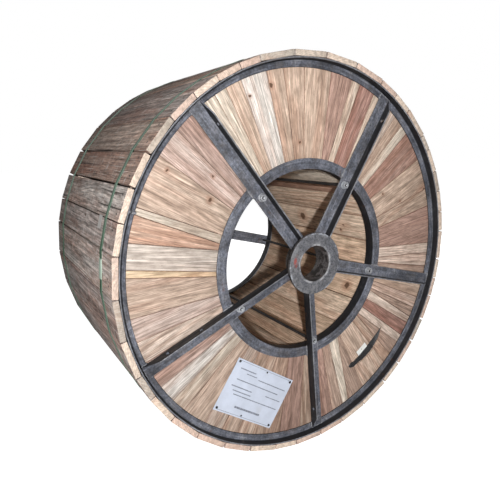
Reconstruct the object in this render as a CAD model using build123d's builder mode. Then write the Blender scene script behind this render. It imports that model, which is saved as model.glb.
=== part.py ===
"""Wooden cable drum on its rim: angle-iron flange frames, radial boards, barrel, lagging and straps."""
import os
from math import cos, hypot, radians, sin, tan

from build123d import *

os.makedirs("parts", exist_ok=True)

# Driving dimensions, in millimetres and degrees

overrun = 6.0
lying_clearance = 0.3

# Flange frames: outer and inner ring, spokes and hub, welded from angle iron
ring_radius = 600.0
drum_width = 656.0
ring_leg_thickness = 4.0
outer_flat_leg = 25.0
outer_standing_leg = 24.0
inner_ring_radius = 286.0
inner_flat_leg = 32.0
inner_deep_leg = 32.0

spoke_count = 5
first_spoke_angle = 58.0
spoke_set_angles = (0.35, -1.3, 1.4, 1.0, -0.55)
spoke_flat_leg = 41.0
spoke_standing_leg = 31.0
spoke_leg_thickness = 4.0
spoke_root_radius = 3.0
spoke_end_gap = 5.0
spoke_mitre_run = 46.0
lashing_hole_radius = 6.0
lashing_hole_height = 18.0
lashing_hole_inset = 85.0
second_hole_inset = 196.0
second_hole_spoke = 2

hub_radius = 96.5
hub_disc_thickness = 11.0
hub_sleeve_wall = 9.0
hub_bore_radius = 55.0
hub_length = 66.0
hub_bore_chamfer = 5.0
hub_rim_chamfer = 2.0
gusset_spoke = 1
gusset_length = 24.0
gusset_thickness = 8.0
gusset_height = 24.0

# Flange boards: each joint between two boards is a share of its bay, at the rim and at the barrel
board_thickness = 20.0
board_gap = 0.8
board_edge_clearance = 0.5
board_turn = -0.75
rim_joint_shares = (
    (0.074, 0.164, 0.211, 0.333, 0.472, 0.576, 0.657, 0.775, 0.847, 0.903),
    (0.096, 0.208, 0.406, 0.431, 0.535, 0.629, 0.658, 0.812, 0.907),
    (0.125, 0.208, 0.278, 0.403, 0.500, 0.586, 0.667, 0.817, 0.929),
    (0.129, 0.197, 0.232, 0.340, 0.514, 0.567, 0.643, 0.685, 0.757, 0.788, 0.842, 0.899),
    (0.069, 0.142, 0.192, 0.389, 0.479, 0.639, 0.794, 0.842, 0.903),
)
barrel_joint_shares = (
    (0.058, 0.188, 0.247, 0.312, 0.486, 0.569, 0.660, 0.785, 0.854, 0.896),
    (0.108, 0.218, 0.412, 0.475, 0.521, 0.678, 0.712, 0.851, 0.935),
    (0.146, 0.208, 0.282, 0.375, 0.486, 0.593, 0.674, 0.792, 0.949),
    (0.139, 0.218, 0.325, 0.344, 0.517, 0.581, 0.600, 0.669, 0.750, 0.833, 0.850, 0.917),
    (0.083, 0.125, 0.215, 0.389, 0.486, 0.669, 0.801, 0.861, 0.910),
)

# Barrel and winding: stave widths are shares of the turn, counted from the stave at the first angle
stave_width_shares = (
    19.2, 17.8, 17.8, 10.6, 18.6, 20.4, 19.0, 20.2, 17.8, 21.0,
    19.6, 18.4, 20.6, 19.2, 18.8, 20.0, 18.6, 19.8, 22.5,
)
stave_thickness = 18.0
stave_gap = 1.6
first_stave_angle = -4.6
winding_rim_room = 55.0
winding_edge_chamfer = 8.0

# Lagging: plank widths are shares of the turn, counted from the plank that the drum stands on
plank_thickness = 17.0
plank_gap = 1.0
narrow_plank_gap = 7.0
resting_plank_angle = 270.0
plank_width_shares = (
    9.8, 9.1, 10.0, 10.8, 8.7, 9.0, 8.8, 8.7, 6.5, 6.8, 10.3, 6.6, 7.5, 7.3,
    8.2, 5.4, 10.6, 7.2, 7.2, 10.9, 11.2, 10.7, 10.9, 6.2, 7.0, 7.5, 8.0, 9.7,
    9.0, 8.4, 7.7, 10.3, 10.7, 10.5, 7.2, 8.9, 10.1, 9.8, 9.7, 9.3, 7.8,
)
narrow_planks = (4, 6, 10, 28, 38)

# Straps round the lagging
strap_width = 19.0
strap_thickness = 1.0
front_strap_inset = 78.0
back_strap_inset = 68.0

# Tie rods between the two flange frames
rod_radius = 5.0
rod_inset = 16.0
rod_hole_clearance = 1.0
thread_clearance = 0.2
thread_end = 6.0
thread_chamfer = 1.0
nut_sides = 6
nut_flats = 19.0
nut_height = 10.0
washer_radius = 12.0
washer_thickness = 2.5

# Cable end in its slot through the flange boards
slot_bay = 3
slot_tip_angles = (295.3, 319.9)
slot_tip_share = 0.764
slot_rim_side_share = 0.814
slot_barrel_side_share = 0.756
cable_end_clearance = 1.5
cable_end_sink = 1.0
cable_end_rounding = 4.0
tag_length = 48.0
tag_width = 20.0
tag_thickness = 0.8
tag_hole_radius = 2.5
tag_angle = 305.4
tag_reach_share = 0.738

# Paper sheet on the flange boards
sheet_length = 241.0
sheet_margin = 43.5
sheet_thickness = 0.5
sheet_angle = 244.0
sheet_tilt = -33.6

# Derived places
full_turn = 360.0
half_turn = 180.0
bay_angle = full_turn / spoke_count
half_drum = drum_width / 2
lagging_radius = ring_radius + plank_thickness
axis_height = lagging_radius + strap_thickness
drum_axis = Axis((0, 0, axis_height), (0, 1, 0))
hub_proud = spoke_standing_leg + hub_disc_thickness
hub_sleeve_radius = hub_bore_radius + hub_sleeve_wall
rod_circle = inner_ring_radius - rod_inset
stave_radius = inner_ring_radius + ring_leg_thickness
stave_half_angle = full_turn * max(stave_width_shares) / sum(stave_width_shares) / 2
stave_outer_radius = stave_radius + stave_thickness
stave_corner_radius = hypot(stave_outer_radius, stave_radius * tan(radians(stave_half_angle)))
winding_bore_radius = stave_corner_radius + lying_clearance
winding_radius = ring_radius - winding_rim_room
board_inner_radius = winding_bore_radius
board_outer_radius = ring_radius - board_edge_clearance
board_face_depth = ring_leg_thickness
board_back_depth = board_face_depth + board_thickness
half_winding = half_drum - board_back_depth - lying_clearance
half_lagging = half_drum + outer_standing_leg


def flange_face(turn):
    """Plane of a flange's flat legs, centred on the drum's axis, with its normal pointing outwards."""
    out = 1 - 2 * (turn == "front")
    return Plane((0, out * half_drum, axis_height), x_dir=(-out, 0, 0), z_dir=(0, out, 0))


def polar(radius, angle):
    """Point at a radius and an angle, in a plane seen from outside the flange."""
    return (radius * cos(radians(angle)), radius * sin(radians(angle)))


def spoke_plane(face, angle):
    """Plane with its X along a spoke, its Y counter-clockwise and its Z out of the flange."""
    along = face.x_dir * cos(radians(angle)) + face.y_dir * sin(radians(angle))
    return Plane(face.origin, x_dir=along, z_dir=face.z_dir)


def section_plane(face):
    """Plane through the axis, with its X along the radius and its Y out of the flange."""
    return Plane(face.origin, x_dir=face.x_dir, z_dir=-face.y_dir)


def write(part, name):
    """Label a finished piece and write it as its own node."""
    part.label = name
    export_step(part, f"parts/{name}.step")


def outer_ring(face):
    """Rim angle: a flat leg on the boards and a leg standing out at the rim."""
    flat_inner_radius = ring_radius - outer_flat_leg
    standing_inner_radius = ring_radius - ring_leg_thickness
    with BuildPart() as ring:
        with BuildSketch(section_plane(face)):
            with BuildLine():
                Polyline(
                    (flat_inner_radius, 0),
                    (standing_inner_radius, 0),
                    (standing_inner_radius, outer_standing_leg),
                    (ring_radius, outer_standing_leg),
                    (ring_radius, -ring_leg_thickness),
                    (flat_inner_radius, -ring_leg_thickness),
                    close=True,
                )
            make_face()
        revolve(axis=drum_axis)
    return ring.part


def inner_ring(face):
    """Barrel angle: a flat leg on the boards and a leg reaching in under the staves."""
    flat_outer_radius = inner_ring_radius + inner_flat_leg
    deep_outer_radius = inner_ring_radius + ring_leg_thickness
    with BuildPart() as ring:
        with BuildSketch(section_plane(face)):
            with BuildLine():
                Polyline(
                    (inner_ring_radius, 0),
                    (flat_outer_radius, 0),
                    (flat_outer_radius, -ring_leg_thickness),
                    (deep_outer_radius, -ring_leg_thickness),
                    (deep_outer_radius, -inner_deep_leg),
                    (inner_ring_radius, -inner_deep_leg),
                    close=True,
                )
            make_face()
        revolve(axis=drum_axis)
    return ring.part


def hub(face):
    """Flanged sleeve with the arbor bore: a face disc on the spokes and a tube behind it."""
    with BuildPart() as ring:
        with BuildSketch(section_plane(face)):
            with BuildLine():
                Polyline(
                    (hub_bore_radius, hub_proud),
                    (hub_radius, hub_proud),
                    (hub_radius, spoke_standing_leg),
                    (hub_sleeve_radius, spoke_standing_leg),
                    (hub_sleeve_radius, hub_proud - hub_length),
                    (hub_bore_radius, hub_proud - hub_length),
                    close=True,
                )
            make_face()
        revolve(axis=drum_axis)
        rims = ring.edges().filter_by(GeomType.CIRCLE).sort_by(SortBy.RADIUS)
        chamfer(rims[:2], hub_bore_chamfer)
        chamfer(rims[-2:], hub_rim_chamfer)
    return ring.part


def spoke(face, angle, hole_reaches):
    """Angle-iron spoke from hub sleeve to rim, with its standing leg on the clockwise side and mitred."""
    own = spoke_plane(face, angle)
    half_flat = spoke_flat_leg / 2
    spoke_end = ring_radius - ring_leg_thickness - spoke_end_gap
    with BuildPart() as bar:
        with BuildSketch(Plane(own.origin, x_dir=own.y_dir, z_dir=own.x_dir)) as section:
            with BuildLine():
                Polyline(
                    (half_flat, 0),
                    (half_flat, spoke_leg_thickness),
                    (spoke_leg_thickness - half_flat, spoke_leg_thickness),
                    (spoke_leg_thickness - half_flat, spoke_standing_leg),
                    (-half_flat, spoke_standing_leg),
                    (-half_flat, 0),
                    close=True,
                )
            make_face()
            root_point = (spoke_leg_thickness - half_flat, spoke_leg_thickness)
            fillet(section.vertices().sort_by_distance(root_point)[0], spoke_root_radius)
        extrude(amount=spoke_end)
        with BuildSketch(face.offset(-overrun)):
            Circle(hub_sleeve_radius)
        extrude(amount=spoke_standing_leg + 2 * overrun, mode=Mode.SUBTRACT)
        with BuildSketch(Plane(own.origin, x_dir=own.x_dir, z_dir=-own.y_dir)):
            with BuildLine():
                Polyline(
                    (spoke_end, spoke_leg_thickness),
                    (spoke_end - spoke_mitre_run, spoke_standing_leg),
                    (spoke_end, spoke_standing_leg),
                    close=True,
                )
            make_face()
        extrude(amount=spoke_flat_leg, both=True, mode=Mode.SUBTRACT)
        through_leg = 2 * (spoke_leg_thickness + overrun)
        with Locations(own * Location((rod_circle, 0, 0))):
            Cylinder(rod_radius + rod_hole_clearance, through_leg, mode=Mode.SUBTRACT)
        for reach in hole_reaches:
            with Locations(own * Location((reach, -half_flat, lashing_hole_height), (90, 0, 0))):
                Cylinder(lashing_hole_radius, through_leg, mode=Mode.SUBTRACT)
    return bar.part


def gusset(face, angle):
    """Short bar welded along the back of one spoke's standing leg, from under the hub's disc."""
    own = spoke_plane(face, angle)
    beside = -spoke_flat_leg / 2 - gusset_thickness / 2
    gusset_end = hub_radius + gusset_length
    with BuildPart() as bar:
        with BuildSketch(own):
            with Locations((gusset_end / 2, beside)):
                Rectangle(gusset_end, gusset_thickness)
            Circle(hub_sleeve_radius, mode=Mode.SUBTRACT)
        extrude(amount=gusset_height)
    return bar.part


def slot_outline():
    """Crescent of the cable slot, in a plane seen from outside the flange."""
    middle_angle = sum(slot_tip_angles) / 2
    rim_side = polar(slot_rim_side_share * ring_radius, middle_angle)
    barrel_side = polar(slot_barrel_side_share * ring_radius, middle_angle)
    first_tip, last_tip = [polar(slot_tip_share * ring_radius, angle) for angle in slot_tip_angles]
    with BuildSketch() as outline:
        with BuildLine():
            ThreePointArc(first_tip, rim_side, last_tip)
            ThreePointArc(first_tip, barrel_side, last_tip)
        make_face()
    return outline.sketch_local


def bay_boards(face, start_angle, rim_shares, barrel_shares, slotted):
    """The tapered boards between two spokes, apart by thin joints, with the cable slot if there is one."""
    rim_trim = board_gap / 2 / radians(board_outer_radius)
    barrel_trim = board_gap / 2 / radians(board_inner_radius)
    rim_joints = [start_angle + bay_angle * share for share in (0, *rim_shares, 1)]
    barrel_joints = [start_angle + bay_angle * share for share in (0, *barrel_shares, 1)]
    with BuildPart() as boards:
        with BuildSketch(face.offset(-board_face_depth)):
            for place in range(len(rim_shares) + 1):
                rim_start = rim_joints[place] + rim_trim
                rim_end = rim_joints[place + 1] - rim_trim
                barrel_start = barrel_joints[place] + barrel_trim
                barrel_end = barrel_joints[place + 1] - barrel_trim
                with BuildLine():
                    Line(polar(board_inner_radius, barrel_start), polar(board_outer_radius, rim_start))
                    CenterArc((0, 0), board_outer_radius, rim_start, rim_end - rim_start)
                    Line(polar(board_outer_radius, rim_end), polar(board_inner_radius, barrel_end))
                    CenterArc((0, 0), board_inner_radius, barrel_start, barrel_end - barrel_start)
                make_face()
        extrude(amount=-board_thickness)
        if slotted:
            with BuildSketch(face.offset(overrun - board_face_depth)):
                add(slot_outline())
            extrude(amount=-board_thickness - 2 * overrun, mode=Mode.SUBTRACT)
    return boards.part


def plank_places(radius, shares, first_angle, gaps):
    """Middle angle and width of each flat plank that lies round a circle."""
    places = []
    edge_angle = first_angle - full_turn * shares[0] / sum(shares) / 2
    for share, gap in zip(shares, gaps):
        plank_angle = full_turn * share / sum(shares)
        width = 2 * radius * tan(radians(plank_angle / 2)) - gap
        places.append((edge_angle + plank_angle / 2, width))
        edge_angle += plank_angle
    return places


def plank_ring(places, radius, thickness, half_length):
    """Flat planks side by side round the drum, each touching the circle at its middle."""
    with BuildPart() as planks:
        with BuildSketch(Plane((0, half_length, axis_height), x_dir=(1, 0, 0), z_dir=(0, -1, 0))):
            for angle, width in places:
                middle = polar(radius + thickness / 2, angle)
                with Locations(Location((*middle, 0), (0, 0, angle))):
                    Rectangle(thickness, width)
        extrude(amount=2 * half_length)
    return planks.part


def plank_corners(places):
    """Outer corners of the lagging planks, where a strap bends."""
    corners = []
    for angle, width in places:
        for side in (-1, 1):
            x, z = polar(lagging_radius, angle)
            across_x, across_z = polar(side * width / 2, angle + half_turn / 2)
            corners.append((x + across_x, z + across_z))
    return corners


def strap(corners, face, inset):
    """Flat band drawn tight over the lagging's corners."""
    edge_plane = face.offset(strap_width / 2 - inset)
    with BuildPart() as band:
        with BuildSketch(edge_plane):
            with BuildLine():
                Polyline(*corners, close=True)
            make_hull()
            offset(amount=strap_thickness, kind=Kind.INTERSECTION)
        extrude(amount=-strap_width)
        with BuildSketch(edge_plane):
            with BuildLine():
                Polyline(*corners, close=True)
            make_hull()
        extrude(amount=-strap_width, mode=Mode.SUBTRACT)
    return band.part


def rod_places(plane_out):
    """Places of the tie rods on a plane at right angles to the axis."""
    return [plane_out * Location((*polar(rod_circle, angle), 0), (0, 0, angle)) for angle in spoke_angles["front"]]


faces = {"front": flange_face("front"), "back": flange_face("back")}
first_angles = {"front": first_spoke_angle, "back": half_turn - first_spoke_angle}
front_angles = [first_spoke_angle + bay_angle * place + spoke_set_angles[place] for place in range(spoke_count)]
spoke_angles = {
    "front": front_angles,
    "back": [half_turn - front_angles[-place] for place in range(spoke_count)],
}

# Both flanges
for turn, face in faces.items():
    write(outer_ring(face), f"{turn}_outer_ring")
    write(inner_ring(face), f"{turn}_inner_ring")
    write(hub(face), f"{turn}_hub")
    for place in range(spoke_count):
        reaches = [ring_radius - lashing_hole_inset]
        if place == second_hole_spoke:
            reaches.append(ring_radius - second_hole_inset)
        write(spoke(face, spoke_angles[turn][place], reaches), f"{turn}_spoke_{place + 1}")
        slotted = turn == "front" and place == slot_bay
        bay_start = first_angles[turn] + bay_angle * place + board_turn
        bay = bay_boards(face, bay_start, rim_joint_shares[place], barrel_joint_shares[place], slotted)
        write(bay, f"{turn}_boards_{place + 1}")

front = faces["front"]
write(gusset(front, spoke_angles["front"][gusset_spoke]), "spoke_gusset")

# Barrel staves, lying on the deep legs of the inner rings
stave_gaps = (stave_gap,) * len(stave_width_shares)
stave_places = plank_places(stave_radius, stave_width_shares, first_stave_angle, stave_gaps)
half_staves = half_drum - ring_leg_thickness - lying_clearance
write(plank_ring(stave_places, stave_radius, stave_thickness, half_staves), "barrel_staves")

# Wound cable, one turned body on the barrel
with BuildPart() as winding:
    with BuildSketch(Plane((0, -half_winding, axis_height), x_dir=(1, 0, 0), z_dir=(0, -1, 0))):
        Circle(winding_radius)
        Circle(winding_bore_radius, mode=Mode.SUBTRACT)
    extrude(amount=-2 * half_winding)
    crests = winding.edges().filter_by(GeomType.CIRCLE).sort_by(SortBy.RADIUS)[-2:]
    chamfer(crests, winding_edge_chamfer)
write(winding.part, "cable_winding")

# Lagging and straps
plank_gaps = [plank_gap] * len(plank_width_shares)
for place in narrow_planks:
    plank_gaps[place] = narrow_plank_gap
lagging_places = plank_places(ring_radius, plank_width_shares, resting_plank_angle, plank_gaps)
write(plank_ring(lagging_places, ring_radius, plank_thickness, half_lagging), "lagging_planks")

lagging_corners = plank_corners(lagging_places)
back_corners = [(-x, z) for x, z in lagging_corners]
write(strap(lagging_corners, front, front_strap_inset), "front_strap")
write(strap(back_corners, faces["back"], back_strap_inset), "back_strap")

# Tie rods with their washers and nuts
spoke_face_out = half_drum + spoke_leg_thickness
nut_seat_out = spoke_face_out + washer_thickness
rod_end_out = nut_seat_out + nut_height + thread_end
middle_plane = Plane((0, 0, axis_height), x_dir=(1, 0, 0), z_dir=(0, -1, 0))

with BuildPart() as rods:
    with Locations(*rod_places(middle_plane)):
        Cylinder(rod_radius, 2 * rod_end_out)
    chamfer(rods.edges().filter_by(GeomType.CIRCLE), thread_chamfer)
write(rods.part, "tie_rods")

with BuildPart() as washers:
    for out in (-1, 1):
        with Locations(*rod_places(middle_plane.offset(out * (spoke_face_out + washer_thickness / 2)))):
            Cylinder(washer_radius, washer_thickness)
            Cylinder(rod_radius + thread_clearance, washer_thickness, mode=Mode.SUBTRACT)
write(washers.part, "tie_rod_washers")

with BuildPart() as nuts:
    for out in (-1, 1):
        with BuildSketch(middle_plane.offset(out * nut_seat_out)):
            with Locations(*rod_places(Plane.XY)):
                RegularPolygon(nut_flats / 2, nut_sides, major_radius=False)
                Circle(rod_radius + thread_clearance, mode=Mode.SUBTRACT)
        extrude(amount=out * nut_height)
write(nuts.part, "tie_rod_nuts")

# Cable end, doubled up and wrapped, packed into its slot against the winding
with BuildPart() as cable:
    with BuildSketch(front.offset(-board_back_depth)):
        add(slot_outline())
        offset(amount=-cable_end_clearance)
    extrude(amount=board_thickness - cable_end_sink)
    crown = cable.faces().sort_by(Axis.Y)[0]
    fillet(crown.edges(), cable_end_rounding)
write(cable.part, "cable_end")

with BuildPart() as tag:
    with BuildSketch(front.offset(-board_face_depth)):
        with Locations(Location((*polar(tag_reach_share * ring_radius, tag_angle), 0), (0, 0, tag_angle))):
            Rectangle(tag_width, tag_length)
            Circle(tag_hole_radius, mode=Mode.SUBTRACT)
    extrude(amount=tag_thickness)
write(tag.part, "cable_tag")

# Paper sheet, between the flat legs of the two rings
bare_inner_radius = inner_ring_radius + inner_flat_leg
bare_outer_radius = ring_radius - outer_flat_leg
sheet_middle = polar((bare_inner_radius + bare_outer_radius) / 2, sheet_angle)
sheet_width = bare_outer_radius - bare_inner_radius - 2 * sheet_margin
with BuildPart() as sheet:
    with BuildSketch(front.offset(-board_face_depth)):
        with Locations(Location((*sheet_middle, 0), (0, 0, sheet_tilt))):
            Rectangle(sheet_length, sheet_width)
    extrude(amount=sheet_thickness)
write(sheet.part, "label_sheet")
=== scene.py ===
"""Looks of a lagged cable drum: sawn boards, painted angle iron, weathered lagging, straps and fittings."""
import math
import random
from contextlib import contextmanager

import bmesh
import bpy
import numpy as np
from bpy.props import FloatProperty, FloatVectorProperty, IntProperty, PointerProperty
from mathutils import Matrix, Vector


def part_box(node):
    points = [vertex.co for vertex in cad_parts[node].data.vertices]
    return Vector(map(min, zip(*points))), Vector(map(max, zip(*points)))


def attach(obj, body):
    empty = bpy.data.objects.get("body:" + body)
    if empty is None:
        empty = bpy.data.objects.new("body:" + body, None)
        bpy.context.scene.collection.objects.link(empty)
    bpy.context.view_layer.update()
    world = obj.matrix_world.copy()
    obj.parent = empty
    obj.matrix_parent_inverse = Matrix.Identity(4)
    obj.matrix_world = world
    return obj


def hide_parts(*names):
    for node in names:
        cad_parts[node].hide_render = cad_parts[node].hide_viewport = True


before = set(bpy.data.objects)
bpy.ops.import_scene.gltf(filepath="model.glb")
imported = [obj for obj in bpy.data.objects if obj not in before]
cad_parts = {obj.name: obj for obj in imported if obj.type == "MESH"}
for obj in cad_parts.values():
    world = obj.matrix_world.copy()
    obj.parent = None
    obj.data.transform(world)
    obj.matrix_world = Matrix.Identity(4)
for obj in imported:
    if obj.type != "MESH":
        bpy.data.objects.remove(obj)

bl_info = {
    "name": "Cable drum looks",
    "version": (1, 0, 0),
    "blender": (4, 5, 0),
    "location": "3D View > Sidebar > Drum",
    "description": "Dresses a lagged cable drum in sawn wood, painted angle iron and small fittings",
    "category": "Object",
}

# Places taken from the frame, in metres

RING_LOW, RING_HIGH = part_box("front_outer_ring")
SPOKE_LOW, SPOKE_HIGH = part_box("front_spoke_1")
INNER_LOW, INNER_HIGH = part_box("front_inner_ring")
HUB_LOW, HUB_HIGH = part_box("front_hub")
WINDING_LOW, WINDING_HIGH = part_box("cable_winding")

AXIS_HEIGHT = (RING_LOW.z + RING_HIGH.z) / 2
RING_RADIUS = (RING_HIGH.x - RING_LOW.x) / 2
HALF_DRUM = -SPOKE_HIGH.y
STANDING_LEG = -RING_LOW.y - HALF_DRUM
LEG_THICKNESS = HALF_DRUM + RING_HIGH.y
HUB_RADIUS = (HUB_HIGH.x - HUB_LOW.x) / 2
HUB_PROUD = -HUB_LOW.y - HALF_DRUM
HUB_LENGTH = HUB_HIGH.y - HUB_LOW.y
SPOKE_STANDING = -SPOKE_LOW.y - HALF_DRUM
HALF_WINDING = WINDING_HIGH.y
WINDING_RADIUS = (WINDING_HIGH.x - WINDING_LOW.x) / 2

OUT = {"front": -1, "back": 1}

# Spokes and places round the axis: angles in degrees from the front, the back's first spoke from behind

FIRST_SPOKE = {"front": 58.0, "back": 122.0}
FRONT_SPOKES = (58.35, 128.7, 203.4, 275.0, 345.45)
SPOKES = len(FRONT_SPOKES)
SECOND_HOLE_SPOKE = 2
BAY = 360.0 / SPOKES
BOARD_TURN = -0.75
BUTT_WELD_ANGLE = 160.0
SEAL_ANGLE = 175.5
SCRAP_ANGLE = 164.5
SLOT_TIPS = (295.3, 319.9)

# Slot of the cable's end, as shares of the rim's radius: its tips, and its edges midway between them

SLOT_TIP, SLOT_EDGES = 0.764, (0.756, 0.814)

# Sizes of fittings, edges, and bands of wear and of painted highlight, in metres

MERGE_DISTANCE = 0.00001
SAME_PLACE = 0.0002
FINE_ROUNDING = 0.0007
GUSSET_ROUNDING = 0.0012
TOE_BAND = 0.0016
LASHING_INSETS = (0.085, 0.196)
LASHING_HEIGHT = 0.018
HUB_ROOT = 0.003
HUB_RIM_ROUNDING = 0.002
HUB_WORN_BAND = (0.0640, 0.0600)
HUB_RIM_HIGHLIGHT_BAND = (0.0885, 0.0945)
SMEAR_PLACE = (-0.0745, 0.012)
BEAD_PITCH = 0.0034
BEAD_STRAY = 0.0007
NAIL_DEPTH = 0.004
WINDING_SEAT = 0.004
SEATING = 0.0012
SEAL_THICKNESS = 0.0022
SEAL_LENGTH = 0.054
PAPER_THICKNESS = 0.0004
SHEET_SWELL_AND_LIFT = (0.0030, 0.0013)
SCRAP_SIZE = (0.036, 0.030)
SCRAP_INSET = 0.150
SCRAP_SWELL_AND_LIFT = (0.0020, 0.0014)
PIN_INSETS = (0.010, 0.009)
PIN_LIFT = 0.0022

# Pins of the sheet as (share of half its length, share of half its width, radius)

PINS = ((-1, -1, 0.0042), (1, -1, 0.0042), (-1, 1, 0.0042), (1, 1, 0.0042), (0.05, 1, 0.0028),
        (-0.1, -1, 0.0028))

# Plain rules on the sheet, as shares of it: height, start, end and half the thickness

SHEET_RULES = (
    (0.845, 0.10, 0.37, 0.010), (0.785, 0.23, 0.41, 0.008), (0.755, 0.45, 0.95, 0.009),
    (0.640, 0.12, 0.86, 0.009), (0.510, 0.09, 0.44, 0.010), (0.530, 0.68, 0.95, 0.008),
    (0.435, 0.14, 0.45, 0.009), (0.370, 0.18, 0.95, 0.009), (0.165, 0.29, 0.73, 0.018),
    (0.030, 0.03, 0.97, 0.004), (0.970, 0.03, 0.97, 0.004))

# Tones of the sawn boards, as sRGB, and the tone of each board as (share of its bay where it ends, tone)

TONES = {
    "cream": (208, 194, 174), "pale": (202, 183, 165), "tan": (196, 173, 152), "sand": (185, 162, 141),
    "pink": (192, 168, 153), "rose": (206, 186, 171), "orange": (202, 170, 146), "red": (160, 126, 112),
    "russet": (166, 136, 120), "brown": (170, 146, 128), "white": (212, 204, 192), "yellow": (228, 202, 166),
    "bone": (195, 182, 167),
}
BLUSH = (0.985, 1.020, 1.115)
# Factor of each bay's tones: the boards' own tone, and painted shade that darkens the bays nearest the key
# light against its falloff
BAY_TONES_AND_SHADE = (1.12, 0.85, 0.75, 0.95, 0.95)
BOARD_TONES = (
    ((0.066, "cream"), (0.176, "red"), (0.229, "cream"), (0.323, "russet"), (0.479, "sand"), (0.573, "sand"),
     (0.658, "sand"), (0.780, "white"), (0.850, "tan"), (0.900, "cream"), (1.0, "cream")),
    ((0.102, "pink"), (0.213, "rose"), (0.409, "tan"), (0.453, "cream"), (0.528, "orange"), (0.654, "bone"),
     (0.685, "yellow"), (0.832, "tan"), (0.921, "rose"), (1.0, "pale")),
    ((0.136, "pink"), (0.208, "white"), (0.280, "cream"), (0.389, "tan"), (0.493, "pale"), (0.590, "tan"),
     (0.670, "tan"), (0.804, "sand"), (0.939, "russet"), (1.0, "sand")),
    ((0.134, "russet"), (0.208, "brown"), (0.278, "cream"), (0.342, "brown"), (0.516, "tan"), (0.574, "sand"),
     (0.622, "brown"), (0.677, "pale"), (0.754, "red"), (0.810, "pale"), (0.846, "brown"), (0.908, "pale"),
     (1.0, "sand")),
    ((0.076, "brown"), (0.134, "pale"), (0.204, "pale"), (0.389, "russet"), (0.483, "sand"), (0.654, "sand"),
     (0.798, "russet"), (0.852, "cream"), (0.906, "sand"), (1.0, "pale")),
)

# Tone of each stave as (angle in degrees where it ends, tone)

STAVE_TONES = (
    (5, "tan"), (23, "pale"), (41, "pale"), (51, "russet"), (70, "white"), (90, "white"), (109, "pale"),
    (129, "sand"), (147, "tan"), (168, "white"), (188, "white"), (206, "tan"), (227, "pale"), (246, "tan"),
    (265, "pale"), (285, "sand"), (303, "tan"), (323, "pale"), (346, "tan"), (360, "tan"))

# Knots of the boards as (angle, share of the rim's radius, radius), of the staves as (angle, depth, radius)

BOARD_KNOTS = ((112.2, 0.879, 0.0045), (104.0, 0.894, 0.0075), (94.4, 0.61, 0.0045), (21.1, 0.739, 0.004),
               (30.0, 0.631, 0.004), (147.0, 0.655, 0.007), (138.9, 0.705, 0.005), (146.3, 0.898, 0.0045))
STAVE_KNOTS = ((14.6, 0.387, 0.019), (-29.6, 0.087, 0.014), (9.5, 0.165, 0.006))

# Tones of the weathered planks, as sRGB, and the planks with a chosen tone as (from angle, to angle, tone)

PLANK_TONES = {
    "slate": (154, 143, 138), "ash": (172, 163, 157), "umber": (146, 127, 117), "fawn": (172, 153, 141),
    "bay": (152, 128, 116),
}
CHOSEN_PLANKS = ((138, 146, "fawn"), (150, 155, "bay"), (155, 165, "ash"), (167, 171, "bay"),
                 (174, 179, "ash"), (184, 206, "slate"))
OTHER_PLANKS = ("slate", "ash", "umber", "fawn", "slate")

# Tints that multiply a tone, and colours of stains, wear, painted shade and painted highlight, linear

TINTS = {
    "late": (0.72, 0.60, 0.54), "red": (0.86, 0.74, 0.70), "sap": (1.10, 1.13, 1.13),
    "halo": (0.60, 0.38, 0.29), "dirty": (0.68, 0.60, 0.57), "edge_dirt_and_shade": (0.66, 0.56, 0.51),
    "brown": (0.82, 0.62, 0.55), "weathered_late": (0.62, 0.52, 0.46), "end_late": (0.74, 0.60, 0.52),
    "steel_side_shade": (0.45, 0.45, 0.47),
}
STAINS = {
    "pit": (0.10, 0.07, 0.055), "open_joint_shadow": (0.026, 0.017, 0.013), "water": (0.205, 0.125, 0.100),
    "mud": (0.110, 0.090, 0.080), "pale_dust": (0.46, 0.43, 0.40), "scratch": (0.62, 0.60, 0.57),
    "rub": (0.56, 0.54, 0.52), "crack": (0.028, 0.022, 0.019), "ruddy_end": (0.68, 0.51, 0.42),
    "grey_end": (0.44, 0.39, 0.33), "end_stain": (0.46, 0.30, 0.225), "end_mud": (0.24, 0.18, 0.15),
    "saw_mark": (0.70, 0.58, 0.46), "steel_dust": (0.34, 0.29, 0.25), "hub_side": (0.070, 0.063, 0.062),
    "hub_face": (0.080, 0.081, 0.091), "hub_cloud": (0.030, 0.030, 0.033), "hub_blot": (0.008, 0.007, 0.007),
    "hub_scuff": (0.27, 0.27, 0.28), "hub_worn": (0.36, 0.36, 0.37), "hub_rim": (0.34, 0.36, 0.40),
    "plate_rust": (0.16, 0.08, 0.045), "plate_dull": (0.34, 0.34, 0.35), "rod": (0.055, 0.050, 0.048),
    "rod_dark": (0.022, 0.020, 0.020), "nail": (0.060, 0.054, 0.050), "nail_dark": (0.018, 0.017, 0.017),
    "pin": (0.030, 0.028, 0.028), "pin_dark": (0.012, 0.012, 0.012), "strap_cloud": (0.012, 0.074, 0.026),
    "strap_scuff": (0.14, 0.24, 0.16), "strap_pale": (0.20, 0.31, 0.235), "seal_stain": (0.10, 0.22, 0.13),
    "jacket_rub": (0.12, 0.12, 0.12), "ink": (0.075, 0.080, 0.105), "sheet_stain": (0.40, 0.40, 0.40),
    "tag_stain": (0.40, 0.38, 0.34), "scrap": (0.42, 0.40, 0.38), "scrap_stain": (0.20, 0.18, 0.16),
}


def linear(red, green, blue):
    """Linear colour of an sRGB triple of 0 to 255."""
    part = [v / 255 for v in (red, green, blue)]
    return tuple(v / 12.92 if v <= 0.04045 else ((v + 0.055) / 1.055) ** 2.4 for v in part)


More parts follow.
